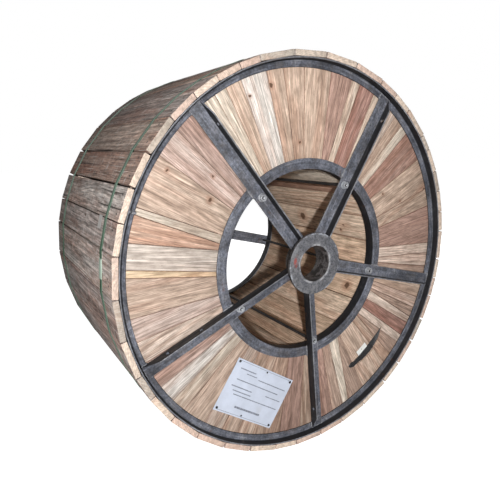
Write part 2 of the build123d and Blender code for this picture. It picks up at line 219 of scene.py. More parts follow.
class DrumSizes(bpy.types.PropertyGroup):
    """Sizes of the drum's dressed pieces."""

    outer_flat_leg: FloatProperty(
        name="Outer flat leg", description="Width of the rim angle's flat leg", default=0.025, unit="LENGTH")
    inner_flat_leg: FloatProperty(
        name="Inner flat leg", description="Width of the barrel angle's flat leg", default=0.032,
        unit="LENGTH")
    spoke_flat_leg: FloatProperty(
        name="Spoke flat leg", description="Width of a spoke's flat leg", default=0.041, unit="LENGTH")
    spoke_end_gap: FloatProperty(
        name="Spoke end gap", description="From a spoke's end to the standing leg of the rim", default=0.009,
        unit="LENGTH")
    spoke_mitre_run: FloatProperty(
        name="Spoke mitre", description="Length of the slope cut on a standing leg's end", default=0.046,
        unit="LENGTH")
    lashing_hole_radius: FloatProperty(
        name="Lashing hole", description="Radius of the holes in the standing legs", default=0.006,
        unit="LENGTH")
    hub_bore_radius: FloatProperty(
        name="Hub bore", description="Radius of the arbor bore", default=0.055, unit="LENGTH")
    hub_sleeve_wall: FloatProperty(
        name="Hub sleeve", description="Wall of the hub's sleeve behind its disc", default=0.009,
        unit="LENGTH")
    hub_bore_chamfer: FloatProperty(
        name="Bore chamfer", description="Rounding of the arbor bore's edges", default=0.003, unit="LENGTH")
    edge_rounding: FloatProperty(
        name="Wood edge", description="Rounding of the sawn edges", default=0.0012, unit="LENGTH")
    bead_radius: FloatProperty(
        name="Weld bead", description="Half the width of a weld bead", default=0.0034, unit="LENGTH")
    nail_radius: FloatProperty(
        name="Nail head", description="Radius of a nail head", default=0.0032, unit="LENGTH")
    cable_radius: FloatProperty(
        name="Cable", description="Radius of the wound cable", default=0.006, unit="LENGTH")
    sheet_length: FloatProperty(
        name="Sheet length", description="Long side of the pinned sheet", default=0.241, unit="LENGTH")
    sheet_width: FloatProperty(
        name="Sheet width", description="Short side of the pinned sheet", default=0.170, unit="LENGTH")
    sheet_tilt: FloatProperty(
        name="Sheet tilt", description="Turn of the pinned sheet", default=math.radians(-33.6),
        unit="ROTATION")
    seed: IntProperty(name="Seed", description="Start of the chosen differences between boards", default=7)


class DrumColours(bpy.types.PropertyGroup):
    """Colours of the drum's finishes, linear."""

    paint: FloatVectorProperty(
        name="Paint", description="Paint on the angle iron", subtype="COLOR",
        default=(0.0085, 0.0090, 0.0125))
    scuffed_paint: FloatVectorProperty(
        name="Scuffed paint", description="Paint rubbed and dusty on the outward faces", subtype="COLOR",
        default=(0.140, 0.149, 0.182))
    bare_steel: FloatVectorProperty(
        name="Bare steel", description="Steel where the paint is gone", subtype="COLOR",
        default=(0.360, 0.360, 0.375))
    rust: FloatVectorProperty(
        name="Rust", description="Rust in scratches and by the welds", subtype="COLOR",
        default=(0.150, 0.062, 0.030))
    red_paint: FloatVectorProperty(
        name="Red paint", description="Smear of red paint on the hub", subtype="COLOR",
        default=(0.270, 0.045, 0.035))
    knot: FloatVectorProperty(
        name="Knot", description="Heart of a knot", subtype="COLOR", default=(0.085, 0.042, 0.024))
    fresh_end: FloatVectorProperty(
        name="Fresh end grain", description="Sawn plank ends", subtype="COLOR", default=(0.740, 0.615, 0.500))
    strap: FloatVectorProperty(
        name="Strap", description="Plastic strap", subtype="COLOR", default=(0.006, 0.046, 0.015))
    seal: FloatVectorProperty(
        name="Seal", description="Welded joint of a strap", subtype="COLOR", default=(0.380, 0.480, 0.400))
    jacket: FloatVectorProperty(
        name="Cable jacket", description="Jacket of the cable", subtype="COLOR",
        default=(0.012, 0.012, 0.013))
    worn_jacket: FloatVectorProperty(
        name="Worn jacket", description="Jacket of the loose end", subtype="COLOR",
        default=(0.013, 0.0125, 0.014))
    zinc: FloatVectorProperty(
        name="Zinc", description="Plated nuts and washers", subtype="COLOR", default=(0.480, 0.500, 0.530))
    paper: FloatVectorProperty(
        name="Paper", description="Pinned sheet", subtype="COLOR", default=(0.500, 0.540, 0.630))
    tag: FloatVectorProperty(
        name="Tag", description="Tag on the cable's end", subtype="COLOR", default=(0.720, 0.720, 0.700))


class DrumStage(bpy.types.PropertyGroup):
    """Camera and light."""

    camera_place: FloatVectorProperty(
        name="Camera", description="Where the camera stands", subtype="XYZ", unit="LENGTH",
        default=(-0.9021, -1.4786, 0.9748))
    camera_aim: FloatVectorProperty(
        name="Aim", description="Point at the middle of the picture", subtype="XYZ", unit="LENGTH",
        default=(-0.2078, -0.328, 0.6795))
    camera_roll: FloatProperty(
        name="Roll", description="Turn of the camera about its view", default=math.radians(-0.76),
        unit="ROTATION")
    lens: FloatProperty(name="Lens", description="Focal length in millimetres", default=34.22)
    key_place: FloatVectorProperty(
        name="Key light", description="Where the key light stands", subtype="XYZ", unit="LENGTH",
        default=(-1.84, -3.15, 1.30))
    key_power: FloatProperty(name="Key power", description="Power of the key light in watts", default=150.0)
    key_size: FloatProperty(name="Key size", description="Side of the key light", default=0.10, unit="LENGTH")
    fill_place: FloatVectorProperty(
        name="Fill light", description="Where the fill light stands", subtype="XYZ", unit="LENGTH",
        default=(2.4, -3.0, 2.8))
    fill_power: FloatProperty(name="Fill power", description="Power of the fill light in watts", default=7.0)
    fill_size: FloatProperty(
        name="Fill size", description="Side of the fill light", default=2.5, unit="LENGTH")
    back_place: FloatVectorProperty(
        name="Back light", description="Where the light behind the drum stands", subtype="XYZ", unit="LENGTH",
        default=(3.0, 2.2, 1.2))
    back_power: FloatProperty(
        name="Back power", description="Power of the light behind the drum in watts", default=55.0)
    back_size: FloatProperty(
        name="Back size", description="Side of the light behind the drum", default=2.0, unit="LENGTH")
    sky: FloatProperty(name="Sky", description="Strength of the even light from all round", default=0.018)


# Modelling helpers


def only(piece):
    """Selects one object alone and makes it active."""
    bpy.ops.object.select_all(action="DESELECT")
    piece.select_set(True)
    bpy.context.view_layer.objects.active = piece


@contextmanager
def editing(piece):
    """Edit mode on one object, with everything selected at the start."""
    only(piece)
    bpy.ops.object.mode_set(mode="EDIT")
    bpy.ops.mesh.select_all(action="SELECT")
    yield piece
    bpy.ops.object.mode_set(mode="OBJECT")


def primitive(kind, **settings):
    """New mesh of one of Blender's own kinds."""
    bpy.ops.object.select_all(action="DESELECT")
    getattr(bpy.ops.mesh, f"primitive_{kind}_add")(**settings)
    return bpy.context.object


def pick(piece, kind, test):
    """Selects, in edit mode, the verts, edges or faces whose middle passes a test."""
    bpy.ops.mesh.select_mode(type={"verts": "VERT", "edges": "EDGE", "faces": "FACE"}[kind])
    bpy.ops.mesh.select_all(action="DESELECT")
    shape = bmesh.from_edit_mesh(piece.data)
    for item in getattr(shape, kind):
        points = [item.co] if kind == "verts" else [v.co for v in item.verts]
        if test(sum(points, Vector()) / len(points)):
            item.select_set(True)
    shape.select_flush_mode()
    bmesh.update_edit_mesh(piece.data)


def apply(piece, modifier):
    """Applies a modifier to its object."""
    only(piece)
    bpy.ops.object.modifier_apply(modifier=modifier.name)


def round_edges(piece, width, segments=2, angle=32.0):
    """Bevels the edges sharper than an angle."""
    bevel = piece.modifiers.new("rounding", "BEVEL")
    bevel.width = width
    bevel.segments = segments
    bevel.limit_method = "ANGLE"
    bevel.angle_limit = math.radians(angle)
    apply(piece, bevel)


def smooth(piece, angle=38.0):
    """Smooth shading up to an angle."""
    only(piece)
    bpy.ops.object.shade_smooth_by_angle(angle=math.radians(angle))


def cut_out(piece, tool):
    """Cuts a tool's shape out of a piece and removes the tool."""
    boolean = piece.modifiers.new("cut", "BOOLEAN")
    boolean.operation = "DIFFERENCE"
    boolean.object = tool
    apply(piece, boolean)
    bpy.data.objects.remove(tool)


def linked(name, data):
    """New object in the scene."""
    piece = bpy.data.objects.new(name, data)
    bpy.context.collection.objects.link(piece)
    return piece


def points_of(mesh):
    """Places of a mesh's vertices, one row each."""
    points = np.empty(len(mesh.vertices) * 3)
    mesh.vertices.foreach_get("co", points)
    return points.reshape(-1, 3)


def round_axis(reach, angle, along):
    """Place at a reach and an angle in radians from the drum's axis, and a way along it."""
    return Vector((reach * math.cos(angle), along, AXIS_HEIGHT + reach * math.sin(angle)))


def from_axis(place):
    """Direction from the drum's axis to a place."""
    return Vector((place.x, 0, place.z - AXIS_HEIGHT)).normalized()


def on_rim(reach, angle, along):
    """From a frame with X out of the drum to a place round its axis, the angle in degrees."""
    return (Matrix.Translation((0, along, AXIS_HEIGHT)) @ Matrix.Rotation(math.radians(-angle), 4, "Y")
            @ Matrix.Translation((reach, 0, 0)))


def copy_of(node):
    """Merged copy of a CAD node's mesh, with its flat faces whole again."""
    piece = linked(node + "_copy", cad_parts[node].data.copy())
    with editing(piece):
        bpy.ops.mesh.remove_doubles(threshold=MERGE_DISTANCE)
        bpy.ops.mesh.dissolve_limited(angle_limit=math.radians(0.5))
    return piece


def mark(piece, test):
    """Gives the second material to the faces that pass a test on their middle and normal."""
    for polygon in piece.data.polygons:
        polygon.material_index = int(test(polygon.center, polygon.normal))


def lengthwise(piece, ringed):
    """Writes coordinates that run along a bar lying on X, or round a ring on Z, for the marks of rolling."""
    points = points_of(piece.data)
    if ringed:
        radius = np.hypot(points[:, 0], points[:, 1])
        points = np.c_[np.arctan2(points[:, 1], points[:, 0]) * radius.mean(), radius, points[:, 2]]
    piece.data.attributes.new("run", "FLOAT_VECTOR", "POINT").data.foreach_set("vector", points.ravel())


def tube(points, radii, name):
    """Round strand along points, as thick at each as its radius."""
    curve = bpy.data.curves.new(name, "CURVE")
    curve.dimensions = "3D"
    curve.bevel_depth = 1.0
    curve.bevel_resolution = 2
    curve.use_fill_caps = True
    spline = curve.splines.new("POLY")
    spline.points.add(len(points) - 1)
    for spot, place, radius in zip(spline.points, points, radii):
        spot.co = (*place, 1.0)
        spot.radius = radius
    only(linked(name, curve))
    bpy.ops.object.convert(target="MESH")
    return bpy.context.object


def joined(pieces):
    """Several meshes joined into the first one."""
    bpy.ops.object.select_all(action="DESELECT")
    for piece in pieces:
        piece.select_set(True)
    bpy.context.view_layer.objects.active = pieces[0]
    bpy.ops.object.join()
    return pieces[0]


def hand_in(piece, name, materials, nodes=()):
    """Names a finished piece, gives it its materials and sets it in the frame."""
    piece.name = name
    piece.data.name = name
    indices = np.zeros(len(piece.data.polygons), dtype=np.int32)
    piece.data.polygons.foreach_get("material_index", indices)
    piece.data.materials.clear()
    for material in materials:
        piece.data.materials.append(material)
    piece.data.polygons.foreach_set("material_index", np.minimum(indices, len(materials) - 1))
    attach(piece, "root")
    if nodes:
        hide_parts(*nodes)
    return piece


def flange_matrix(side):
    """From a flange's own frame, X right, Y up and Z out of the drum, to the row frame."""
    out = OUT[side]
    return Matrix(((-out, 0, 0, 0), (0, 0, out, out * HALF_DRUM), (0, 1, 0, AXIS_HEIGHT), (0, 0, 0, 1)))


def spoke_angle(side, place):
    """Angle of a spoke, seen from outside its flange, in radians."""
    return math.radians(FRONT_SPOKES[place] if side == "front" else 180 - FRONT_SPOKES[-place])


def angle_section(flat, leg, flat_thickness, leg_thickness, root):
    """L-shaped face in the XZ plane: heel at the origin, flat leg on X, other leg on Z, rounded root."""
    section = primitive("plane", size=1)
    section.data.transform(Matrix.Translation((0.5, 0.5, 0)))
    section.data.transform(Matrix.Rotation(math.pi / 2, 4, "X"))
    section.data.transform(Matrix.Diagonal((flat, 1, flat_thickness, 1)))
    reach, near = leg_thickness * 0.9, flat_thickness / 4
    with editing(section):
        bpy.ops.mesh.bisect(plane_co=(leg_thickness, 0, 0), plane_no=(1, 0, 0))
        pick(section, "edges", lambda spot: spot.x < reach and abs(spot.z - flat_thickness) < near)
        bpy.ops.mesh.extrude_region_move(TRANSFORM_OT_translate={"value": (0, 0, leg - flat_thickness)})
        bpy.ops.mesh.select_all(action="SELECT")
        bpy.ops.mesh.dissolve_limited(angle_limit=math.radians(1))
    round_corners(section, [(leg_thickness, flat_thickness)], root, 4)
    return section


def round_corners(section, corners, radius, segments):
    """Rounds the corners of a flat section that lie at some places, each (x, z)."""
    def at_corner(spot):
        return min(math.dist((spot.x, spot.z), place) for place in corners) < SAME_PLACE

    with editing(section):
        pick(section, "verts", at_corner)
        bpy.ops.mesh.bevel(offset=radius, segments=segments, affect="VERTICES")


def rolled_angle(flat, leg, thickness):
    """Section of a rolled angle bar: rounded root, blunt toes and crisp outer corners."""
    section = angle_section(flat, leg, thickness, thickness, thickness)
    round_corners(section, [(flat, thickness), (thickness, leg)], thickness * 0.55, 3)
    round_corners(section, [(0, 0), (flat, 0), (0, leg)], thickness * 0.18, 2)
    return section


def lathe(section, steps):
    """Spins a face's outline round the Z axis into a closed ring."""
    with editing(section):
        bpy.ops.mesh.delete(type="ONLY_FACE")
        bpy.ops.mesh.select_all(action="SELECT")
        bpy.ops.mesh.spin(steps=steps, angle=2 * math.pi, center=(0, 0, 0), axis=(0, 0, 1))
        bpy.ops.mesh.select_all(action="SELECT")
        bpy.ops.mesh.remove_doubles(threshold=MERGE_DISTANCE)
        bpy.ops.mesh.normals_make_consistent(inside=False)
    return section


def scattered(prototype, places, name):
    """One mesh with a copy of a prototype at each place, each place a matrix."""
    count = len(prototype.data.vertices)
    points = np.c_[points_of(prototype.data), np.ones(count)]
    faces = [list(p.vertices) for p in prototype.data.polygons]
    verts, polygons = [], []
    for number, place in enumerate(places):
        verts.extend((points @ np.array(place).T)[:, :3].tolist())
        polygons.extend([[i + number * count for i in face] for face in faces])
    mesh = bpy.data.meshes.new(name)
    mesh.from_pydata(verts, [], polygons)
    bpy.data.objects.remove(prototype)
    return linked(name, mesh)


def island_numbers(mesh):
    """Number of the loose part that each vertex belongs to."""
    edges = np.empty(len(mesh.edges) * 2, dtype=np.int64)
    mesh.edges.foreach_get("vertices", edges)
    edges = edges.reshape(-1, 2)
    label = np.arange(len(mesh.vertices))
    while True:
        low = label[edges].min(axis=1)
        new = label.copy()
        np.minimum.at(new, edges[:, 0], low)
        np.minimum.at(new, edges[:, 1], low)
        new = new[new]
        if (new == label).all():
            return np.unique(label, return_inverse=True)[1]
        label = new


def grain_attributes(piece, lie, choice):
    """Writes each loose board's grain and tone; lie(centre) gives its length, face, tone and shift."""
    mesh = piece.data
    points = points_of(mesh)
    number = island_numbers(mesh)
    grain = np.zeros_like(points)
    tone = np.ones((len(points), 4))
    for part in range(number.max() + 1):
        inside = number == part
        low, high = points[inside].min(axis=0), points[inside].max(axis=0)
        centre = Vector((low + high) / 2)
        along, face, colour, shift = lie(centre)
        axes = np.array([along, face.cross(along), face])
        local = (points[inside] - np.array(centre)) @ axes.T
        spread = choice.uniform(0.7, 1.6)
        pith = (choice.uniform(0, 30), choice.uniform(-0.10, 0.10), choice.uniform(0.02, 0.16))
        grain[inside] = local * np.array((1, spread, spread)) + np.array(pith)
        tone[inside, :3] = colour
        tone[inside, 3] = choice.random()
        points[inside] += np.array(face) * shift
    mesh.vertices.foreach_set("co", points.ravel())
    mesh.attributes.new("grain", "FLOAT_VECTOR", "POINT").data.foreach_set("vector", grain.ravel())
    mesh.attributes.new("tone", "FLOAT_COLOR", "POINT").data.foreach_set("color", tone.ravel())
    mesh.update()


# Shader helpers


class Shading:
    """Node tree of a material, a group or the world, with a short call for each kind of node in use."""

    def __init__(self, tree):
        self.tree = tree

    def put(self, value, socket):
        """Sets an input to a value or joins it to a socket."""
        if isinstance(value, bpy.types.NodeSocket):
            self.tree.links.new(value, socket)
        else:
            socket.default_value = value

    def add(self, kind, values=(), **settings):
        """Outputs of a new node with its settings and the values of its inputs."""
        node = self.tree.nodes.new(kind)
        for key, value in settings.items():
            setattr(node, key, value)
        for key, value in dict(values).items():
            self.put(value, node.inputs[key])
        return node.outputs

    def maths(self, operation, first, second=0.0):
        """Output of a Math node."""
        return self.add("ShaderNodeMath", {0: first, 1: second}, operation=operation)[0]

    def times(self, first, second):
        """Product of two values."""
        return self.maths("MULTIPLY", first, second)

    def plus(self, first, second):
        """Sum of two values."""
        return self.maths("ADD", first, second)

    def minus(self, first, second):
        """Difference of two values."""
        return self.maths("SUBTRACT", first, second)

    def most(self, first, second):
        """Greater of two values."""
        return self.maths("MAXIMUM", first, second)

    def apart(self, first, second):
        """Distance between two values."""
        return self.maths("ABSOLUTE", self.minus(first, second))

    def band(self, value, low, high, start=0.0, end=1.0):
        """Value mapped smoothly from one span to another, kept inside it."""
        spans = {"Value": value, "From Min": low, "From Max": high, "To Min": start, "To Max": end}
        return self.add("ShaderNodeMapRange", spans, interpolation_type="SMOOTHSTEP")["Result"]

    def vector(self, operation, first, second=(0, 0, 0)):
        """Outputs of a Vector Math node."""
        return self.add("ShaderNodeVectorMath", {0: first, 1: second}, operation=operation)

    def scaled(self, vector, amount):
        """Vector multiplied part by part."""
        return self.vector("MULTIPLY", vector, amount)[0]

    def parts(self, vector):
        """X, Y and Z of a vector."""
        return self.add("ShaderNodeSeparateXYZ", {0: vector})

    def attribute(self, name):
        """Outputs of one of the mesh's attributes."""
        return self.add("ShaderNodeAttribute", attribute_name=name)

    def outward(self, low, high):
        """Mask of the faces that look along the drum's axis."""
        normal = self.add("ShaderNodeTexCoord")["Normal"]
        return self.band(self.maths("ABSOLUTE", self.parts(normal)[1]), low, high)

    def speckle(self, vector, scale, detail=3.0, roughness=0.55):
        """Factor of a noise texture, drawn out where its scale is given part by part."""
        if isinstance(scale, tuple):
            vector, scale = self.scaled(vector, scale), 1.0
        values = {"Vector": vector, "Scale": scale, "Detail": detail, "Roughness": roughness}
        return self.add("ShaderNodeTexNoise", values)[0]

    def blended(self, factor, first, second, blend="MIX"):
        """Colour mixed from two by a factor."""
        values = {0: factor}
        for key, colour in ((6, first), (7, second)):
            values[key] = colour if isinstance(colour, bpy.types.NodeSocket) else (*colour[:3], 1.0)
        return self.add("ShaderNodeMix", values, data_type="RGBA", blend_type=blend)[2]

    def tinted(self, colour, tint):
        """Colour multiplied by another."""
        return self.blended(1.0, colour, tint, "MULTIPLY")

    def covered(self, colour, cover, mask, share):
        """Colour with another one over it where a mask shows, up to a share."""
        return self.blended(self.times(mask, share), colour, cover)

    def shaded(self, colour, factor, light, dark, warmth=1.0):
        """Colour made lighter or darker with a factor, and redder in the dark below a warmth of 1."""
        tints = [self.band(factor, 0.22, 0.78, dark * warmth ** step, light) for step in range(3)]
        return self.tinted(colour, self.add("ShaderNodeCombineColor", dict(enumerate(tints)))[0])

    def group(self, name, values):
        """Outputs of a shared group, built at its first use."""
        builders = {"sawn_grain": sawn_grain_group, "handled_wear": wear_group, "yard_grime": grime_group}
        shared = bpy.data.node_groups.get(name) or builders[name]()
        return self.add("ShaderNodeGroup", values, node_tree=shared)

    def give_out(self, results):
        """Joins results to the named outputs of a group."""
        made = self.tree.nodes.new("NodeGroupOutput").inputs
        for label, value in results.items():
            self.put(value, made[label])

    def surface(self, colour, roughness, bump=None, specular=0.5, metallic=0.0):
        """Sets a material's Principled shader; a bump is (height, strength, distance)."""
        inputs = {"Base Color": colour, "Roughness": roughness, "Specular IOR Level": specular,
                  "Metallic": metallic}
        if bump:
            bump = dict(zip(("Height", "Strength", "Distance"), bump))
            inputs["Normal"] = self.add("ShaderNodeBump", bump)[0]
        for key, value in inputs.items():
            self.put(value, self.tree.nodes["Principled BSDF"].inputs[key])


def new_group(name, inputs, outputs):
    """Empty shader group with named sockets: its shading and what it is given."""
    tree = bpy.data.node_groups.new(name, "ShaderNodeTree")
    for label, default in inputs.items():
        kind = "NodeSocketVector" if default is None else "NodeSocketFloat"
        socket = tree.interface.new_socket(label, in_out="INPUT", socket_type=kind)
        if default is not None:
            socket.default_value = default
    for label in outputs:
        tree.interface.new_socket(label, in_out="OUTPUT", socket_type="NodeSocketFloat")
    return Shading(tree), tree.nodes.new("NodeGroupInput").outputs


def sawn_grain_group():
    """Streaks, growth rings, fibres and knots of a sawn board, from its own grain coordinates."""
    make, given = new_group(
        "sawn_grain", {"Grain": None, "Ring Scale": 45.0, "Warp": 5.0, "Knots": 0.5},
        ("Rings", "Streak", "Fibre", "Drift", "Knot", "Halo", "Line"))
    grain = given["Grain"]
    along, across, through = make.parts(grain)
    flat = make.add("ShaderNodeCombineXYZ", {0: make.times(along, 4.0), 1: make.times(across, 9.0)})[0]
    cells = make.add("ShaderNodeTexVoronoi", {"Vector": flat, "Scale": 1.0}, voronoi_dimensions="2D")
    chosen = make.add("ShaderNodeSeparateColor", {0: cells["Color"]})
    shown = make.maths("LESS_THAN", chosen[0], given["Knots"])
    offset = make.scaled(make.vector("SUBTRACT", flat, cells["Position"])[0], (0.14, 0.11, 0.0))
    away = make.plus(make.vector("LENGTH", offset)["Value"], make.times(make.speckle(grain, 110.0), 0.010))
    size = make.band(chosen[1], 0.0, 1.0, 0.007, 0.014)
    heart = make.times(make.band(away, size, make.times(size, 0.62)), shown)
    halo = make.times(make.band(away, make.times(size, 3.6), size), shown)
    bend = make.times(make.minus(make.speckle(grain, (1.7, 7, 7), 2.0), 0.5), 0.085)
    bowed = make.add("ShaderNodeCombineXYZ", {
        0: make.times(along, 0.10),
        1: make.plus(make.plus(across, bend), make.times(halo, 0.010)),
        2: make.minus(through, bend)})[0]
    rings = make.add("ShaderNodeTexWave", {
        "Vector": bowed, "Scale": given["Ring Scale"], "Distortion": given["Warp"], "Detail": 3.0,
        "Detail Scale": 0.5, "Detail Roughness": 0.6}, wave_type="RINGS", rings_direction="X",
        wave_profile="SIN")["Fac"]
    make.give_out({
        "Rings": make.band(rings, 0.42, 0.95),
        "Streak": make.speckle(grain, (1.1, 75, 75), 4.0, 0.62),
        "Fibre": make.speckle(grain, (14, 340, 340)),
        "Drift": make.speckle(grain, (2.2, 15, 15), 4.0),
        "Line": make.speckle(bowed, (30, 190, 190), 3.0, 0.6),
        "Knot": heart,
        "Halo": halo,
    })
    return make.tree


def wear_group():
    """Scuffs, rust spots and the dents of handled steel, from a point on the piece."""
    make, given = new_group(
        "handled_wear", {"Point": None, "Scuffing": 0.5}, ("Scuff", "Rust", "Cloud", "Height"))
    point = given["Point"]
    cloud = make.speckle(point, 9.0, 4.0, 0.6)
    fine = make.speckle(point, 70.0, 4.0, 0.65)
    scratch = make.speckle(point, (160, 160, 30))
    mixed = make.plus(make.times(cloud, 0.55), make.times(fine, 0.45))
    edge = make.minus(0.78, make.times(given["Scuffing"], 0.36))
    make.give_out({
        "Scuff": make.band(make.plus(mixed, make.times(scratch, 0.12)), edge, make.plus(edge, 0.14)),
        "Rust": make.band(make.speckle(point, 26.0, 5.0, 0.7), 0.62, 0.74),
        "Cloud": cloud,
        "Height": make.plus(make.times(fine, 0.7), make.times(scratch, 0.3)),
    })
    return make.tree


def grime_group():
    """Broad dirt and thin dust, from a point on the piece."""
    make, given = new_group("yard_grime", {"Point": None, "Amount": 0.5}, ("Dirt", "Dust"))
    edge = make.minus(0.72, make.times(given["Amount"], 0.25))
    make.give_out({
        "Dirt": make.band(make.speckle(given["Point"], 5.5, 5.0, 0.62), edge, make.plus(edge, 0.22)),
        "Dust": make.band(make.speckle(given["Point"], 38.0, 4.0, 0.6), 0.42, 0.75),
    })
    return make.tree


def new_material(name):
    """New material, the shading of its tree and the point on the object."""
    material = bpy.data.materials.new(name)
    material.use_nodes = True
    make = Shading(material.node_tree)
    return material, make, make.add("ShaderNodeTexCoord")["Object"]


def knots_at(make, point, spots):
    """Masks of the hearts and the halos of knots at given places, each (place, radius)."""
    ragged = make.times(make.speckle(point, 90.0), 0.012)
    heart = halo = 0.0
    for place, radius in spots:
        away = make.minus(make.plus(make.vector("DISTANCE", point, place)["Value"], ragged), 0.006)
        heart = make.most(heart, make.band(away, radius, radius * 0.55))
        halo = make.most(halo, make.band(away, radius * 2.6, radius))
    return heart, halo


def sawn_wood(name, knot, knots, dirt, spots):
    """Sawn boards, each with its own tone, streaks, rings, fibres and knots."""
    material, make, point = new_material(name)
    grain = make.attribute("grain")["Vector"]
    own = make.attribute("tone")
    tone = own["Color"]
    wood = make.group("sawn_grain", {"Grain": grain, "Ring Scale": 13.0, "Warp": 7.0, "Knots": knots})
    grime = make.group("yard_grime", {"Point": point, "Amount": dirt})
    heart, halo = knots_at(make, point, spots)
    red, sap, late, ringed = (make.tinted(tone, TINTS[kind]) for kind in ("red", "sap", "late", "halo"))
    colour = make.blended(make.band(wood["Drift"], 0.48, 0.68, 0.0, 0.75), tone, red)
    colour = make.blended(make.band(wood["Drift"], 0.46, 0.30, 0.0, 0.75), colour, sap)
    colour = make.shaded(colour, wood["Streak"], 1.14, 0.84, 0.97)
    colour = make.covered(colour, late, wood["Rings"], make.band(own["Alpha"], 0.30, 1.0, 0.05, 0.70))
    colour = make.shaded(colour, make.speckle(grain, (26, 70, 70), 4.0, 0.65), 1.24, 0.72, 0.97)
    colour = make.shaded(colour, wood["Line"], 1.24, 0.64, 0.96)
    colour = make.shaded(colour, wood["Fibre"], 1.36, 0.62, 0.98)
    colour = make.covered(colour, ringed, make.most(halo, wood["Halo"]), 0.45)
    colour = make.covered(colour, knot, make.most(heart, wood["Knot"]), 0.92)
    pits = make.band(make.speckle(grain, (90, 260, 260), 2.0), 0.70, 0.75)
    colour = make.covered(colour, STAINS["pit"], pits, 0.60)
    colour = make.covered(colour, make.tinted(colour, TINTS["dirty"]), grime["Dirt"], 0.45)
    height = make.plus(wood["Fibre"], make.times(wood["Streak"], 0.8))
    make.surface(colour, make.band(wood["Fibre"], 0.2, 0.8, 0.62, 0.82), (height, 0.6, 0.0008), 0.25)
    return material


def joint_shadow(name):
    """Board edges along the joints, darker from dirt and painted shade, near black as painted shadow where a
    joint gapes.
    """
    material, make, point = new_material(name)
    gaping = make.speckle(make.attribute("grain")["Vector"], (5, 20, 20), 4.0, 0.6)
    edge = make.tinted(make.attribute("tone")["Color"], TINTS["edge_dirt_and_shade"])
    # Painted shadow: near black where the joint gapes
    colour = make.blended(make.band(gaping, 0.52, 0.72), edge, STAINS["open_joint_shadow"])
    make.surface(make.shaded(colour, make.speckle(point, 160.0), 1.3, 0.7), 0.9, specular=0.1)
    return material


def weathered_wood(knot):
    """Lagging planks left outdoors: greyed fibres, dark cracks, pale scratches and stained patches."""
    material, make, point = new_material("lagging_face")
    grain = make.attribute("grain")["Vector"]
    tone = make.attribute("tone")["Color"]
    wood = make.group("sawn_grain", {"Grain": grain, "Ring Scale": 26.0, "Warp": 9.0, "Knots": 0.16})
    grime = make.group("yard_grime", {"Point": point, "Amount": 0.6})
    crack = make.band(make.speckle(grain, (2.4, 150, 60), 2.0), 0.655, 0.70)
    scratch = make.band(make.speckle(grain, (5.0, 330, 90)), 0.645, 0.70)
    rubbed = make.band(make.speckle(grain, (110, 20, 40)), 0.61, 0.70)
    brown = make.tinted(tone, TINTS["brown"])
    colour = make.blended(make.band(wood["Drift"], 0.42, 0.62, 0.0, 0.85), tone, brown)
    colour = make.shaded(colour, wood["Streak"], 1.38, 0.52)
    colour = make.covered(colour, make.tinted(colour, TINTS["weathered_late"]), wood["Rings"], 0.32)
    colour = make.shaded(colour, make.speckle(grain, (30, 80, 80), 4.0, 0.7), 1.40, 0.55)
    colour = make.shaded(colour, wood["Line"], 1.50, 0.50)
    colour = make.shaded(colour, wood["Fibre"], 1.40, 0.58)
    stain = make.band(make.speckle(grain, (9, 26, 26), 4.0, 0.65), 0.53, 0.66, 0.0, 0.50)
    colour = make.blended(stain, colour, STAINS["water"])
    for cover, mask, share in (
            (STAINS["mud"], grime["Dirt"], 0.36), (STAINS["pale_dust"], grime["Dust"], 0.22),
            (STAINS["scratch"], scratch, 0.75), (STAINS["rub"], rubbed, 0.50), (knot, wood["Knot"], 0.85),
            (STAINS["crack"], crack, 0.85)):
        colour = make.covered(colour, cover, mask, share)
    height = make.plus(wood["Streak"], make.times(wood["Fibre"], 0.8))
    make.surface(colour, 0.85, (make.minus(height, make.times(crack, 1.2)), 0.9, 0.0014), 0.2)
    return material


def end_grain(fresh_end):
    """Fresh sawn plank ends with ring arcs and saw marks."""
    material, make, point = new_material("plank_end")
    grain = make.attribute("grain")["Vector"]
    own = make.attribute("tone")
    wood = make.group("sawn_grain", {"Grain": grain, "Ring Scale": 60.0, "Warp": 3.0, "Knots": 0.0})
    grime = make.group("yard_grime", {"Point": point, "Amount": 0.6})
    fresh = make.blended(make.band(own["Alpha"], 0.45, 0.75), fresh_end, STAINS["ruddy_end"])
    fresh = make.blended(make.band(own["Alpha"], 0.22, 0.10), fresh, STAINS["grey_end"])
    colour = make.blended(0.22, fresh, own["Color"])
    colour = make.shaded(colour, make.speckle(point, 85.0, 4.0, 0.65), 1.28, 0.62)
    colour = make.covered(colour, make.tinted(colour, TINTS["end_late"]), wood["Rings"], 0.45)
    stain = make.band(make.speckle(point, 16.0), 0.5, 0.75, 0.0, 0.5)
    colour = make.blended(stain, colour, STAINS["end_stain"])
    colour = make.covered(colour, STAINS["end_mud"], grime["Dirt"], 0.4)
    saw = make.speckle(point, (300, 300, 60), 2.0)
    colour = make.blended(make.band(saw, 0.5, 0.8, 0.0, 0.35), colour, STAINS["saw_mark"])
    make.surface(colour, 0.85, (saw, 0.5, 0.0005))
    return material


